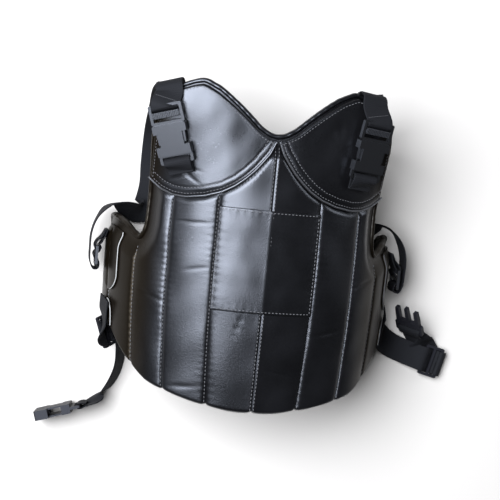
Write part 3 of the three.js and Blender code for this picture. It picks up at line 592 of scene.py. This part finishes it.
close = np.array([0.0, 0.0006, 0.0025, 0.006, 0.011, 0.018, 0.026])
low_shares = np.concatenate([close, np.linspace(0.035, 0.965, 100), 1 - close[::-1]])
high_shares = np.concatenate([np.linspace(0.01, 0.965, 92), 1 - close[::-1]])
spread = (1 - np.cos(np.linspace(0, math.pi, 25))) / 2
middle_columns = seams[1] * (1 - np.cos(np.linspace(0, math.pi, 31))) / 2
first_columns = np.concatenate([middle_columns, seams[1] + (seams[2] - seams[1]) * spread[1:]])
outer_shares = np.concatenate([(1 - np.cos(np.linspace(0, math.pi / 2, 18)))[:-2], 1 - close[::-1] * 3])


def half_columns(edge):
    """Where the columns of one half lie, from the centre line to an edge."""
    outer = seams[2] + outer_shares[1:] * (edge - seams[2])
    return np.concatenate([first_columns, outer])


def front_pattern():
    """Pattern points of the front: up from the hem to the armholes' dip, then on to neck and shoulders."""
    columns = half_columns(side_seam)
    rows = [(columns, hem_edge(columns) + share * (armhole_dip - hem_edge(columns))) for share in low_shares]
    for share in high_shares:
        up = np.full(columns.shape, armhole_dip + share * (corner_height - armhole_dip))
        for _ in range(6):
            a = np.array([half_columns(float(side_edge(u)))[k] for k, u in enumerate(up)])
            top = shoulder_top(np.minimum(a, shoulder_half))
            up = armhole_dip + share * (top - armhole_dip)
        rows.append((a, up))
    around = np.array([np.concatenate([-a[:0:-1], a]) for a, _ in rows])
    level = np.array([np.concatenate([u[:0:-1], u]) for _, u in rows])
    return around, level


def wing_pattern(side):
    """Pattern points of one wing."""
    last_spread = np.concatenate([spread[:-3], [0.985, 0.995, 1.0]])
    inner_columns = side_seam + (seams[4] - side_seam) * spread[:-1]
    a = np.concatenate([inner_columns, seams[4] + (wing_reach - seams[4]) * last_spread])
    top = np.where(a > side_seam, wing_top_edge(np.maximum(a, side_seam)), armhole_dip)
    low = hem_edge(a)
    around = np.repeat(a[None, :], len(low_shares), 0)
    up = low[None, :] + low_shares[:, None] * (top - low)[None, :]
    return side * around, up


points, uvs, faces = [], [], []
start = 0
for around, up in (front_pattern(), wing_pattern(1), wing_pattern(-1)):
    rows, columns = around.shape
    mirrored = around[0, 0] > around[0, -1]
    for face_of, flip in ((pad_top, True), (pad_bottom, False)):
        height = rolled(around, up, face_of(around, up))
        points.append(wrap(around, up - hem_bulge(around, up), height).reshape(-1, 3))
        uvs.append(np.stack([around, up], -1).reshape(-1, 2) * MM)
        faces.append(grid_faces(rows, columns, start, flip != mirrored))
        start += rows * columns
padded_body = mesh_from("padded_body", np.vstack(points), np.vstack(faces), np.vstack(uvs))
clean(padded_body, 2e-5)
padded_body.data.materials.append(vinyl)
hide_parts("padded_shell")
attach(padded_body, "root")

# Channel seams: one row of thread in each seam that quilts the body, and two beside the middle fold.
# They end at the chest panels, and on the wings below the bound edge.
seam_lines = []


def in_seam(around, up):
    return pad_top(around, up) + 0.1


for seam in seams[1:5]:
    for side in (-1, 1):
        top_end = float(chest_edge(seam)) if seam <= side_seam - 20 else 222.0
        if seam > side_seam:
            top_end = float(wing_top_edge(seam)) - 12
        level = np.linspace(float(hem_edge(seam)) + 4, top_end - 3, 160)
        beside = side * (seam + 1.0)
        seam_lines.append(on_surface(np.full(160, beside), level, in_seam))
for beside in (-2.6, 2.6):
    level = np.linspace(4.0, float(chest_edge(2.6)) - 2, 200)
    seam_lines.append(on_surface(np.full(200, beside), level, in_seam))
seam_thread = stitches("seam_thread", seam_lines)

# Binding: a strip of the same vinyl, rolled over the body's edge and sewn through it. It runs all the
# way from one wing's end over armholes, shoulders and neck to the other's; the hem has none.
run = run_along(edge_line)
bind_count = 620
marks = np.linspace(0, run[-1], bind_count)
bind_path = np.stack([np.interp(marks, run, edge_line[:, 0]), np.interp(marks, run, edge_line[:, 1])], -1)
for _ in range(3):
    bind_path[1:-1] = (bind_path[:-2] + 2 * bind_path[1:-1] + bind_path[2:]) / 4
heading = np.gradient(bind_path, axis=0)
heading /= np.linalg.norm(heading, axis=1)[:, None]
inward = np.stack([-heading[:, 1], heading[:, 0]], -1)


def inside_edge(distance):
    """The bound edge moved in by a distance on the pattern."""
    return bind_path + inward * np.asarray(distance)[..., None]


bind_sides = 18
turns = np.arange(bind_sides) * 2 * math.pi / bind_sides
rings = []
for i in range(bind_count):
    pucker = 1 + 0.03 * math.sin(marks[i] / 2.1 + 2 * math.sin(marks[i] / 23))
    pucker += 0.03 * math.sin(marks[i] / 11.0)
    inside = 1.4 + 3.8 * np.cos(turns) * pucker
    spot = bind_path[i] + inward[i] * inside[:, None]
    out = -6.4 + 5.2 * np.sin(turns) * pucker
    rings.append(wrap(spot[:, 0], spot[:, 1], out))
rings = np.array(rings)
binding = mesh_from("binding", rings.reshape(-1, 3), skin_faces(bind_count, bind_sides))
clean(binding, 1e-6)
binding.data.materials.append(edging)
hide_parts("edge_binding")
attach(binding, "root")

# Chest panels: smooth vinyl over thin foam, one on each side of the middle fold. They are sewn on the
# body with two rows along the curved lower edge, which is piped, and one row beside the binding.
panel_inset = 6.0
panel_start = 2.2
sewn_rows = (3.6, 11.5)


def panel_height(around, up):
    """Height of a chest panel over the pattern."""
    a = np.abs(around)
    inside = np.minimum(up - chest_edge(a), bound_distance(a, up) - panel_inset)
    inside = np.minimum(inside, (a - panel_start) * 2)
    slope = (chest_edge(a + 2.0) - chest_edge(a - 2.0)) / 4.0
    above = (up - chest_edge(a)) / np.sqrt(1 + slope**2)
    puff = 3.2 + 1.6 * np.sqrt(np.clip(inside / 2.0, 0, 1)) + 0.2 * ease((above - sewn_rows[1]) / 22.0)
    puff = puff - 0.5 * np.exp(-(((above - sewn_rows[1]) / 1.6) ** 2))
    puff = puff - 0.4 * np.exp(-(((above - sewn_rows[0]) / 1.3) ** 2))
    puff = puff + 1.6 * np.exp(-(((a - 100) / 55.0) ** 2) - ((up - 318) / 52.0) ** 2) * ease(inside / 12.0)
    wave = 0.5 * ripple(around / 26.0 + 3, up / 30.0, 5) + 0.25 * ripple(around / 8.0, up / 10.0, 6)

    # Creases under the left buckle, and a dent at the right shoulder: around, up, half length across
    # and up, lean, depth
    pull = np.zeros(np.shape(a))
    for at, level, wide, tall, lean, depth in (
        (-122, 327, 13, 1.5, 0.62, 0.9), (-116, 320, 12, 1.4, 0.5, 0.7), (-134, 318, 12, 1.5, -0.35, 0.7),
        (-112, 332, 9, 1.5, 0.15, 0.6), (88, 402, 9, 14, 0.0, 1.6), (112, 335, 14, 1.8, -0.4, 0.5),
    ):
        across = around - at
        rise = (up - level) + across * lean
        pull = pull + depth * np.exp(-((across / wide) ** 2) - (rise / tall) ** 2)
    return puff + wave * ease(inside / 12.0) - pull * ease(inside / 12.0)


def on_panel(around, up):
    return panel_height(around, up) + 0.05


panel_lines = []
# The piping is painted a lighter grey than the vinyl: a painted highlight for the light line along its
# rolled edge
piping_highlight_paint, _, _ = shader("piping", (0.014, 0.014, 0.015), 0.3, 0.5)
for side, side_name in ((-1, "left"), (1, "right")):
    columns_in = np.concatenate([panel_start + 4 * np.array([0, 0.2, 0.5, 1.0]), np.linspace(9, 140, 70)])
    shares_out = np.concatenate([np.linspace(0, 0.9, 20)[1:], [0.95, 0.98, 1.0]])
    shares_up = np.concatenate([[0, 0.004, 0.012, 0.03], np.linspace(0.05, 0.95, 70), [0.97, 0.99, 1.0]])
    around_rows, up_rows = [], []
    for share in shares_up:
        up = np.full(len(columns_in) + len(shares_out), 360.0)
        for _ in range(8):
            edge = armhole_edge(up) - panel_inset
            outer = 140 + shares_out * (edge[len(columns_in):] - 140)
            a = np.concatenate([columns_in, outer])
            low = chest_edge(a)
            steep = np.interp(a, [0, 20, 85, 106, 187], [1.02, 1.3, 1.3, 1.02, 1.1])
            top = shoulder_top(np.minimum(a, shoulder_half)) - panel_inset * steep
            up = low + share * (np.maximum(top, low + 1) - low)
        around_rows.append(side * a)
        up_rows.append(up)
    around, up = np.array(around_rows), np.array(up_rows)
    height = panel_height(around, up)
    height[[0, -1]] = 0.4
    height[:, [0, -1]] = 0.4
    under = wrap(around, up, np.full(around.shape, -1.5))
    panel = two_faced(f"chest_panel_{side_name}_cover", wrap(around, up, height), under, side > 0)
    panel.data.materials.append(vinyl)
    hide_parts(f"chest_panel_{side_name}")
    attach(panel, "root")

    # Its piping and topstitch rows
    a = np.concatenate([np.linspace(panel_start, 30, 60), np.linspace(30, 182, 120)[1:]])
    low_line = chest_edge(a)
    path = wrap(side * a, low_line - 0.6, np.full(a.shape, 4.0))
    smooth = path.copy()
    for _ in range(4):
        smooth[1:-1] = (smooth[:-2] + 2 * smooth[1:-1] + smooth[2:]) / 4
    piping = tube_mesh(f"piping_{side_name}", smooth, 0.0015, 12, piping_highlight_paint)
    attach(piping, "root")
    slope = np.gradient(low_line, a)
    normal = np.stack([-slope, np.ones(a.shape)], -1)
    normal /= np.linalg.norm(normal, axis=1)[:, None]
    for distance in sewn_rows:
        row_a = a + normal[:, 0] * distance
        row_u = low_line + normal[:, 1] * distance
        kept = (row_a > panel_start + 2) & (bound_distance(row_a, row_u) > 9)
        panel_lines.append(on_surface(side * row_a[kept], row_u[kept], on_panel))
    rim_line = inside_edge(np.full(bind_count, 10.5))
    kept = (np.sign(rim_line[:, 0]) == side) & (rim_line[:, 1] > chest_edge(rim_line[:, 0]) + 3)
    kept &= np.abs(rim_line[:, 0]) > panel_start + 3
    panel_lines.append(on_surface(rim_line[kept, 0], rim_line[kept, 1], on_panel))
panel_thread = stitches("panel_thread", panel_lines, pitch=4.8, length=3.0, radius=0.45)

# Front patch: one square of vinyl over the two middle channels, sewn on flat with one row of thread
# beside each of its edges. Bare of any print.
patch_half = 72.0
patch_low = 142.0
patch_high = 286.0
patch_size = patch_high - patch_low
patch_sewn = 3.2
patch_steps = np.concatenate([
    [0, 0.003, 0.01, 0.02], np.linspace(0.04, 0.96, 84), [0.98, 0.99, 0.997, 1.0],
])


def patch_height(around, up):
    """Height of the patch over the pattern, puckered beside its stitches."""
    edge = np.minimum(patch_half - np.abs(around), np.minimum(up - patch_low, patch_high - up))
    base = pad_top(around, up, False) * 0.9 + 0.55 * ripple(around / 24.0, up / 30.0, 11)
    base = base + 0.18 * ripple(around / 7.0, up / 8.0, 12) + 1.17 * np.exp(-((around / 1.5) ** 2))
    beside = np.abs(patch_half - 4 - np.abs(around))
    level = np.minimum(np.abs(up - patch_low - 4), np.abs(patch_high - 4 - up))
    pucker = 0.14 * np.sin(up / 1.6 + np.sin(up / 11.0)) * np.exp(-beside / 4.0)
    pucker += 0.12 * np.sin(around / 1.6) * np.exp(-level / 3.5)
    turned_in = 0.5 * np.sqrt(np.clip(edge / 2.0, 0, 1))
    return np.maximum(base, 1.0) + 1.7 + pucker * ease(edge / 3.0) + turned_in


def on_patch(around, up):
    return patch_height(around, up) + 0.05


around, up = np.meshgrid(-patch_half + 2 * patch_half * patch_steps, patch_low + patch_size * patch_steps)
cover_height = patch_height(around, up)
under_height = np.minimum(pad_top(around, up, False) - 1.5, cover_height - 1.0)
cover_height[[0, -1]] -= 0.5
cover_height[1:-1, [0, -1]] -= 0.5
patch = two_faced("patch", wrap(around, up, cover_height), wrap(around, up, under_height), True)
patch.data.materials.append(vinyl)
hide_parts("front_patch")
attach(patch, "root")
sewn_half = patch_half - patch_sewn
edge_run = np.linspace(-sewn_half, sewn_half, 90)
patch_lines = [
    on_surface(edge_run, np.full(90, patch_high - patch_sewn), on_patch),
    on_surface(edge_run, np.full(90, patch_low + patch_sewn), on_patch),
    on_surface(np.full(90, -sewn_half), patch_low + patch_half + edge_run, on_patch),
    on_surface(np.full(90, sewn_half), patch_low + patch_half + edge_run, on_patch),
]
patch_thread = stitches("patch_thread", patch_lines, pitch=5.2, length=3.2, radius=0.52)

# Tabs: two flat vinyl tongues sewn on each wing. Their cut front edges are one material in lit and shaded
# copies:
# a pale painted highlight line on the left ones, painted shade on the right ones.
lit_cut_edge, _, _ = shader("lit_cut_edge", (0.19, 0.19, 0.19), 0.6)
shaded_cut_edge, _, _ = shader("shaded_cut_edge", (0.012, 0.012, 0.012), 0.6)
wing_width = wing_reach - side_seam
for side, side_name in ((-1, "left"), (1, "right")):
    for kind in ("upper", "lower"):
        if kind == "upper":
            a = np.linspace(side_seam + 0.24 * wing_width, side_seam + 0.6 * wing_width, 26)
            share = (2 * (a - a[0]) / (a[-1] - a[0])) - 1
            low = 144 + (a[-1] - a[0]) / 2 * (1 - np.sqrt(1 - 0.96 * share * share))
            high = wing_top_edge(a) - 14
        else:
            a = np.concatenate([[246, 247, 249], np.linspace(252, 292, 22)])
            share = np.minimum((a - 246) / 14.0, 1)
            low = hem_edge(a) + 8
            high = low + (130 - low) * (0.35 + 0.65 * np.sqrt(share * (2 - share)))
        steps_up = np.linspace(0, 1, 50)
        around = np.repeat(a[None, :], 50, 0)
        up = low[None, :] + steps_up[:, None] * (high - low)[None, :]
        base = np.maximum(pad_top(side * around, up, False), -2.0)
        lift = 2.2 + 0.3 * ripple(around / 12.0, up / 16.0, 21)
        cover = wrap(side * around, up, base + lift)
        under = wrap(side * around, up, base + 0.2)
        tab = two_faced(f"{kind}_tab_cover_{side_name}", cover, under, side > 0)
        tab.data.materials.append(vinyl)
        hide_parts(f"{kind}_tab_{side_name}")
        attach(tab, "root")
        float(high.max() - low.min()) * MM
        float(np.trapz(high - low, a)) * MM * MM

        # The cut edge: up the front and a little round the corner
        front = np.stack([np.full(40, a[0]), np.linspace(low[0], high[0], 40)], -1)
        turn_in = np.stack([a[1:10], low[1:10] if kind == "upper" else high[1:10]], -1)
        line = np.vstack([turn_in[::-1], front]) if kind == "upper" else np.vstack([front, turn_in])
        edge_base = np.maximum(pad_top(side * line[:, 0], line[:, 1], False), -2.0) + 2.2
        edge_path = wrap(side * line[:, 0], line[:, 1], edge_base)
        # Pale lit copy of the edge on the left, painted shade on the right
        edge_paint = lit_cut_edge if side < 0 else shaded_cut_edge
        tab_edge = tube_mesh(f"{kind}_tab_edge_{side_name}", edge_path, 0.0007, 8, edge_paint)
        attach(tab_edge, "root")

# Webbing: flat woven black straps, 38 mm wide, whose ribs follow each strap. All the straps are made
# of it, threaded through the buckles and sliders or sewn on the body.
webbing, web_tree, web_shader = shader("webbing", (0.003, 0.003, 0.0035), 0.75, 0.14)
web_uv = web_tree.nodes.new("ShaderNodeUVMap")
web_uv.uv_map = "pattern"
split = web_tree.nodes.new("ShaderNodeSeparateXYZ")
web_tree.links.new(web_uv.outputs["UV"], split.inputs["Vector"])
across_web = Socket(web_tree, split.outputs["X"])
along_web = Socket(web_tree, split.outputs["Y"])
ribs = (along_web * (2 * math.pi / 0.0021)).math("SINE")
cells = (across_web * (2 * math.pi / 0.0026)).math("SINE")
woven = ribs * cells
tooth = texture(web_tree, "ShaderNodeTexNoise", 900.0, web_uv.outputs["UV"], Detail=3.0)
weave_height = woven * 0.5 + ribs * 0.25 + Socket(web_tree, tooth.outputs["Fac"]) * 0.5
bump(web_tree, web_shader, weave_height, 0.7, 0.0004)
yarns = woven.between(-1.0, 1.0, 0.0, 1.0)
two_tones(web_tree, web_shader, yarns, (0.0008, 0.0008, 0.001), (0.0042, 0.0042, 0.005))
web_width = 38.0
web_thick = 1.8


def spline(knots, t):
    """Centripetal Catmull-Rom curve through the knots, t from 0 to 1."""
    knots = np.asarray(knots, float)
    last = len(knots) - 1
    result = []
    for value in np.atleast_1d(t):
        place = last * value
        i = min(int(place), last - 1)
        w = place - i
        p1, p2 = knots[i], knots[i + 1]
        p0 = knots[i - 1] if i > 0 else 2 * p1 - p2
        p3 = knots[i + 2] if i + 2 <= last else 2 * p2 - p1
        pairs = ((p0, p1), (p1, p2), (p2, p3))
        d0, d1, d2 = (max(float((q - p) @ (q - p)) ** 0.25, 1e-4) for p, q in pairs)
        t1 = ((p1 - p0) / d0 - (p2 - p0) / (d0 + d1) + (p2 - p1) / d1) * d1
        t2 = ((p2 - p1) / d1 - (p3 - p1) / (d1 + d2) + (p3 - p2) / d2) * d1
        square = 3 * (p2 - p1) - 2 * t1 - t2
        cube = 2 * (p1 - p2) + t1 + t2
        result.append(p1 + t1 * w + square * w**2 + cube * w**3)
    return np.array(result)


def ribbon(name, rows, steps, node):
    """A strap along rows of (place, way its face looks), in millimetres from the crest.

    Gives its line, the ways across and out of it, and the length run at each point of the line.
    """
    places = np.array([r[0] for r in rows], float)
    looks = np.array([r[1] for r in rows], float)
    t = np.linspace(0, 1, steps)
    line = spline(places, t)
    face = spline(looks, t)
    forward = np.gradient(line, axis=0)
    forward /= np.linalg.norm(forward, axis=1)[:, None]
    across = np.cross(forward, face)
    across /= np.linalg.norm(across, axis=1)[:, None]
    face = np.cross(across, forward)
    half = web_width / 2
    middle = np.linspace(-0.85, 0.85, 9)
    spots = np.concatenate([[-1, -0.985, -0.95], middle, [0.95, 0.985, 1]]) * half
    thick = np.array([0.35, 0.8, 1.0] + [1.0] * 9 + [1.0, 0.8, 0.35]) * web_thick / 2
    section = [(x, y) for x, y in zip(spots, thick)] + [(x, -y) for x, y in zip(spots[::-1], thick[::-1])]
    run = run_along(line)
    points, uv = [], []
    for i in range(steps):
        for x, y in section:
            points.append((line[i] + across[i] * x + face[i] * y) * MM + np.array(crest))
            uv.append((x * MM, run[i] * MM))
    strap = mesh_from(name, points, skin_faces(steps, len(section)), uv)
    clean(strap)
    strap.data.materials.append(webbing)
    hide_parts(node)
    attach(strap, "root")
    return line, across, face, run


def seat(around, up, out):
    """A seat at a pattern point: its place, and the ways across, along and out of the surface."""
    place, right, left, above, below = (
        (wrap(a, u, out) - np.array(crest)) / MM
        for a, u in ((around, up), (around + 2, up), (around - 2, up), (around, up + 2), (around, up - 2))
    )
    across = (right - left) / np.linalg.norm(right - left)
    normal = np.cross(across, above - below)
    normal /= np.linalg.norm(normal)
    return place, across, np.cross(normal, across), normal


def turned(at, degrees):
    """The seat turned on the surface."""
    place, across, along, normal = at
    c, s = math.cos(math.radians(degrees)), math.sin(math.radians(degrees))
    return place, across * c + along * s, along * c - across * s, normal


def from_piece(at, along, out, across=0.0):
    """A place beside a seat."""
    return at[0] + at[2] * along + at[3] * out + at[1] * across


def rows_on(at, rows):
    """Strap rows from rows along, out, face along, face out and, where given, across a seat."""
    made = []
    for row in rows:
        along, out, face_along, face_out = row[:4]
        across = row[4] if len(row) > 4 else 0.0
        made.append((from_piece(at, along, out, across), at[3] * face_out + at[2] * face_along))
    return made


def in_space(rows):
    """Strap rows from rows of right, up the picture, above the floor, way the face looks."""
    return [((x, y, above - crest.z / MM), look) for x, y, above, look in rows]


def facing(place, across, along):
    """A seat in space."""
    place = np.array(place, float) - [0, 0, crest.z / MM]
    across = np.array(across, float) / np.linalg.norm(across)
    normal = np.cross(across, along)
    normal /= np.linalg.norm(normal)
    return place, across, np.cross(normal, across), normal


# Plastic: black moulded buckles and sliders with softly rounded edges. The hard pieces keep the
# model's own shapes; those at the waist are duller.
plastic, plastic_tree, plastic_shader = shader("plastic", (0.002, 0.002, 0.0022), 0.34, 0.6)
plastic_coords = plastic_tree.nodes.new("ShaderNodeTexCoord").outputs["Object"]
dimples = texture(plastic_tree, "ShaderNodeTexNoise", 700.0, plastic_coords, Detail=2.0)
bump(plastic_tree, plastic_shader, Socket(plastic_tree, dimples.outputs["Fac"]), 0.12, 0.0003)
dull_plastic, _, _ = shader("dull_plastic", (0.004, 0.004, 0.0055), 0.5, 0.16)
hard_kinds = ("shoulder_socket", "shoulder_plug", "wing_slider", "waist_slider")
hard_nodes = [f"{kind}_{side_name}" for kind in hard_kinds for side_name in ("left", "right")]
hard_nodes += ["waist_socket", "waist_plug"]
for node_name in hard_nodes:
    hard = bpy.data.objects[node_name]
    hard.data.materials.clear()
    hard.data.materials.append(dull_plastic if node_name.startswith("waist") else plastic)
    rounding = hard.modifiers.new("rounding", "BEVEL")
    rounding.width = 0.0007
    rounding.segments = 3
    rounding.limit_method = "ANGLE"
    rounding.angle_limit = math.radians(35)

# Shoulder straps: from the buckle's male half over the shoulder, down behind and out to the wing's
# slider. Each has a short loop under the buckle, sewn on the chest panel, and another one at the slider,
# sewn on the wing. The male half has a ribbed grip bar.
panel_top = 7.6
buckle_out = 16.6
web_lift = 3.4
rear_bar = -55.0
layer = web_thick + 0.3
under_socket = -6.5 + web_thick / 2

# Rows: right, up the picture, above the floor, way the face looks
back_route = (
    (152, 436, 128, (0, 0.7, -0.7)), (150, 412, 66, (0, 0.55, -0.8)), (150, 376, 16, (0, 0.3, -0.95)),
    (150, 330, 2, (0, 0, -1)), (150, 290, 4, (0, 0.1, -1)), (160, 258, 13, (0, 0.25, -0.95)),
    (177, 257, 28, (0, 0.6, -0.8)), (197, 267, 46, (-0.05, 0.98, -0.15)), (215, 261, 50, (-0.35, 0.9, 0)),
    (229, 243, 54, (-0.9, 0.4, 0)),
)

# Rows: along the wing slider, out of it, face along, face out
wing_threading = (
    (32, 9.5, 0, 1), (10, 10, -0.1, 1), (-10, 8.5, -0.3, 0.9), (-20, 3, -1, 0), (-19, -3, -0.6, -0.8),
    (-12, -4.6, -0.1, -1), (-7.4, -2.8, 0.6, -0.6), (-4.8, 2.4, 0.8, -0.4), (0, 4.2, 0, -1),
    (4, 2.4, -0.8, -0.4), (5, -2.8, -0.6, -0.6), (12, -6.2, -0.2, -1),
)
anchor_threading = (
    (38, -13.2, 0, -1), (28, -10, 0, -1), (20, -6.4, 0, -1), (15, -3.5, 0, -1), (11, -3.4, -0.1, -1),
    (9.5, -2, -0.7, -0.7), (9.2, 0, -1, 0), (9.5, 2, -0.7, 0.7), (11, 3.4, -0.1, 1), (15, 3.4, 0, 1),
    (20, 0.8, 0, 1), (28, -6, 0, 1), (38, -11, 0, 1),
)
web_lines = []

# Rows: name, side, the buckle's place around and up, its lean, where the strap folds over the edge
for name, side, around, up, lean, fold_around, fold_up in (
    ("left", -1, -152.0, 391.0, 16.0, -164.0, 443.0), ("right", 1, 136.0, 393.0, -6.0, 141.0, 451.0),
):
    at = turned(seat(around, up, buckle_out), lean)

    def on_axis(distance):
        across_by = around - math.sin(math.radians(lean)) * distance
        up_by = up + math.cos(math.radians(lean)) * distance
        surface = turned(seat(across_by, up_by, panel_top + web_lift), lean)
        out = float((surface[0] - at[0]) @ at[3])
        return from_piece(at, distance, out), at[1], at[2], surface[3]

    below = on_axis(rear_bar - 16)
    anchor_rows = [
        (from_piece(origin, along, out), origin[3] * face_out + origin[2] * face_along)
        for origin, along, out, face_out, face_along in (
            (below, 0, 0, -1, 0), (on_axis(rear_bar - 5), 0, 0, -1, 0),
            (at, rear_bar + 3, under_socket, -1, 0.2), (at, rear_bar + 7.2, -0.4, 0, 1),
            (at, rear_bar + 4, 4.2, 1, 0.2), (at, rear_bar - 2, 4.2, 1, 0),
            (on_axis(rear_bar - 11), 0, layer + 0.6, 1, 0), (below, 0, layer, 1, 0),
        )
    ]
    ribbon(f"anchor_webbing_{name}", anchor_rows, 60, f"shoulder_anchor_{name}")
    front = [
        (from_piece(at, along, out), at[3] * face_out - at[2] * face_along)
        for along, out, face_along, face_out in (
            (8.6, -4.8, 0.0, 1), (13, -4.9, 0.0, 1), (17.2, -3.0, 0.6, 0.8), (19.4, 0.6, 0.8, 0.6),
            (21.6, 4.0, 0.4, 0.9), (25, 5.0, 0.0, 1),
        )
    ]
    top = turned(seat(fold_around, fold_up, 0.0), lean)
    over = [
        (from_piece(top, along, out), top[3] * face_out + top[2] * face_along)
        for along, out, face_along, face_out in (
            (-9, 8, 0, 1), (1, 5.4, 0.35, 0.9), (7, -3, 1, 0.1), (6, -14, 0.9, -0.5),
        )
    ]
    behind = in_space([(side * x, y, z, (-side * f[0], f[1], f[2])) for x, y, z, f in back_route])
    slider_at = (
        np.array((side * 226, 190, 57 - crest.z / MM)), np.array((0, 0, -side)), np.array((0, 1, 0)),
        np.array((side, 0, 0)),
    )
    threaded = rows_on(slider_at, wing_threading)
    line, across, face, run = ribbon(
        f"strap_webbing_{name}", [*front, *over, *behind, *threaded], 420, f"shoulder_strap_{name}",
    )

    # One sewn row across the strap, above the buckle
    k = int(np.searchsorted(run, 33.0))
    width_run = np.linspace(-16.5, 16.5, 30)[:, None]
    sewn = (line[k] + across[k] * width_run + face[k] * 1.0) * MM + np.array(crest)
    web_lines.append((sewn, np.repeat(face[k][None, :], 30, 0)))
    ribbon(f"wing_webbing_{name}", rows_on(slider_at, anchor_threading), 60, f"wing_anchor_{name}")

    # Ribbed grip bar across the male half
    bar_at = Matrix((at[1], at[2], at[3])).transposed().to_4x4()
    bpy.ops.object.select_all(action="DESELECT")
    bpy.ops.mesh.primitive_cube_add(size=1.0)
    bar = bpy.context.object
    bar.name = f"grip_bar_{name}"
    bar.data.transform(Matrix.Diagonal((0.0385, 0.0085, 0.0042, 1.0)))
    work = bmesh.new()
    work.from_mesh(bar.data)
    for k in range(15):
        place = Vector(((-17.5 + 2.5 * k) * MM, 0.0, 0.0022))
        rib = bmesh.ops.create_cube(work, size=1.0)["verts"]
        bmesh.ops.scale(work, verts=rib, vec=(0.0013, 0.0082, 0.0016))
        bmesh.ops.translate(work, verts=rib, vec=place)
    work.to_mesh(bar.data)
    work.free()
    spot = from_piece(at, 13.2, 2.4)
    bar.data.transform(Matrix.Translation(Vector(spot * MM) + crest) @ bar_at)
    bar.data.materials.append(plastic)
    bar_rounding = bar.modifiers.new("rounding", "BEVEL")
    bar_rounding.width = 0.0004
    bar_rounding.segments = 2
    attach(bar, "root")

# Left waist strap: sewn on the wing, down through its slider and along the floor to the loose female
# half, which it is looped through.
left_slider = facing((-201, 76, 45), (0.34, -0.94, 0), (-0.57, -0.2, 0.8))
left_socket = facing((-293, -62, 24.6), (-0.12, 0.07, 0.99), (-0.954, -0.299, 0))
tail = -70
left_rows = [
    *in_space([
        (-210, 131, 87, (1, 0, -0.25)), (-210, 112, 83, (1, 0, -0.25)), (-208, 97, 78, (1, 0, -0.15)),
    ]),
    *rows_on(left_slider, [
        (20, -7, 0, -1), (13, -4.2, 0, -1), (5.6, 0, -1, -0.2), (0, 4.2, 0, -1), (-5.6, 0, 1, -0.2),
        (-12, -4.2, 0, -1), (-18, -5, 0, -1),
    ]),
    *in_space([
        (-181, 70, 27, (0.9, 0.3, 0.45)), (-175.5, 47, 20, (0.9, 0, 0.4)),
        (-177, 16, 18.5, (0.9, -0.15, 0.4)), (-189, -12, 19, (0.75, -0.55, 0.35)),
        (-204, -27, 20.6, (0.5, -0.85, 0.1)),
    ]),
    *rows_on(left_socket, [
        (tail - 14, 1.4, 0, 1), (tail - 6, 2.4, 0, 1), (tail - 1, 3.7, 0, 1), (tail + 3, 3.6, 0.1, 1),
        (tail + 5.8, 2.5, 0.7, 0.7), (tail + 7, 0, 1, 0), (tail + 5.8, -2.5, 0.7, -0.7),
        (tail + 3, -3.6, 0.1, -1), (tail - 2, -3.6, 0, -1), (tail - 8, -1.4, 0, -1),
    ]),
]
ribbon("waist_webbing_left", left_rows, 260, "waist_strap_left")

# Right waist strap: sewn on the wing, out to its slider and back under itself to the loose male half,
# which points up the picture.
right_slider = facing((310, 60, 12), (0.24, 0.971, 0), (-0.971, 0.24, 0))
right_plug = facing((262.5, 121, 33), (0.62, -0.13, 0.65), (0.35, -0.8, -0.49))
right_rows = [
    *in_space([
        (218.5, 136, 50, (1, 0, 0.1)), (220, 119, 40, (1, 0, 0.3)), (222, 103, 25, (0.8, 0.2, 0.55)),
        (229, 90, 14, (0.4, 0.1, 0.9)), (244, 80, 6, (0.05, 0, 1)), (264, 72.6, 8, (-0.1, 0, 1)),
    ]),
    *rows_on(right_slider, [
        (24, 2.6, 0, 1), (17, 4.4, 0, 1), (12, 4.3, 0, 1), (5.6, 0, 0.9, 0.2), (0, -4.2, 0, 1),
        (-5.6, 0, -0.9, 0.2), (-13, 4.2, 0, 1), (-18.6, 0, -1, 0), (-13, -6.8, 0, -1), (-2, -7.6, 0, -1, 3),
        (9, -7.8, 0, -1, 11),
    ]),
    *in_space([(298, 81, 6.5, (0, 0, -1)), (284, 93, 20, (0.35, 0.4, -0.75))]),
    *rows_on(right_plug, [
        (30, 3.6, 0, 1), (19, 4.3, 0, 1), (14.5, 4.5, -0.1, 1), (11.6, 3.2, -0.7, 0.7), (10.2, 0, -1, 0),
        (11.6, -3.2, -0.7, -0.7), (14.5, -4.5, -0.1, -1), (20, -4, 0, -1), (26, -0.6, 0, -1),
    ]),
]
ribbon("waist_webbing_right", right_rows, 320, "waist_strap_right")
web_thread = stitches("web_thread", web_lines, pitch=2.6, length=1.8, radius=0.25)
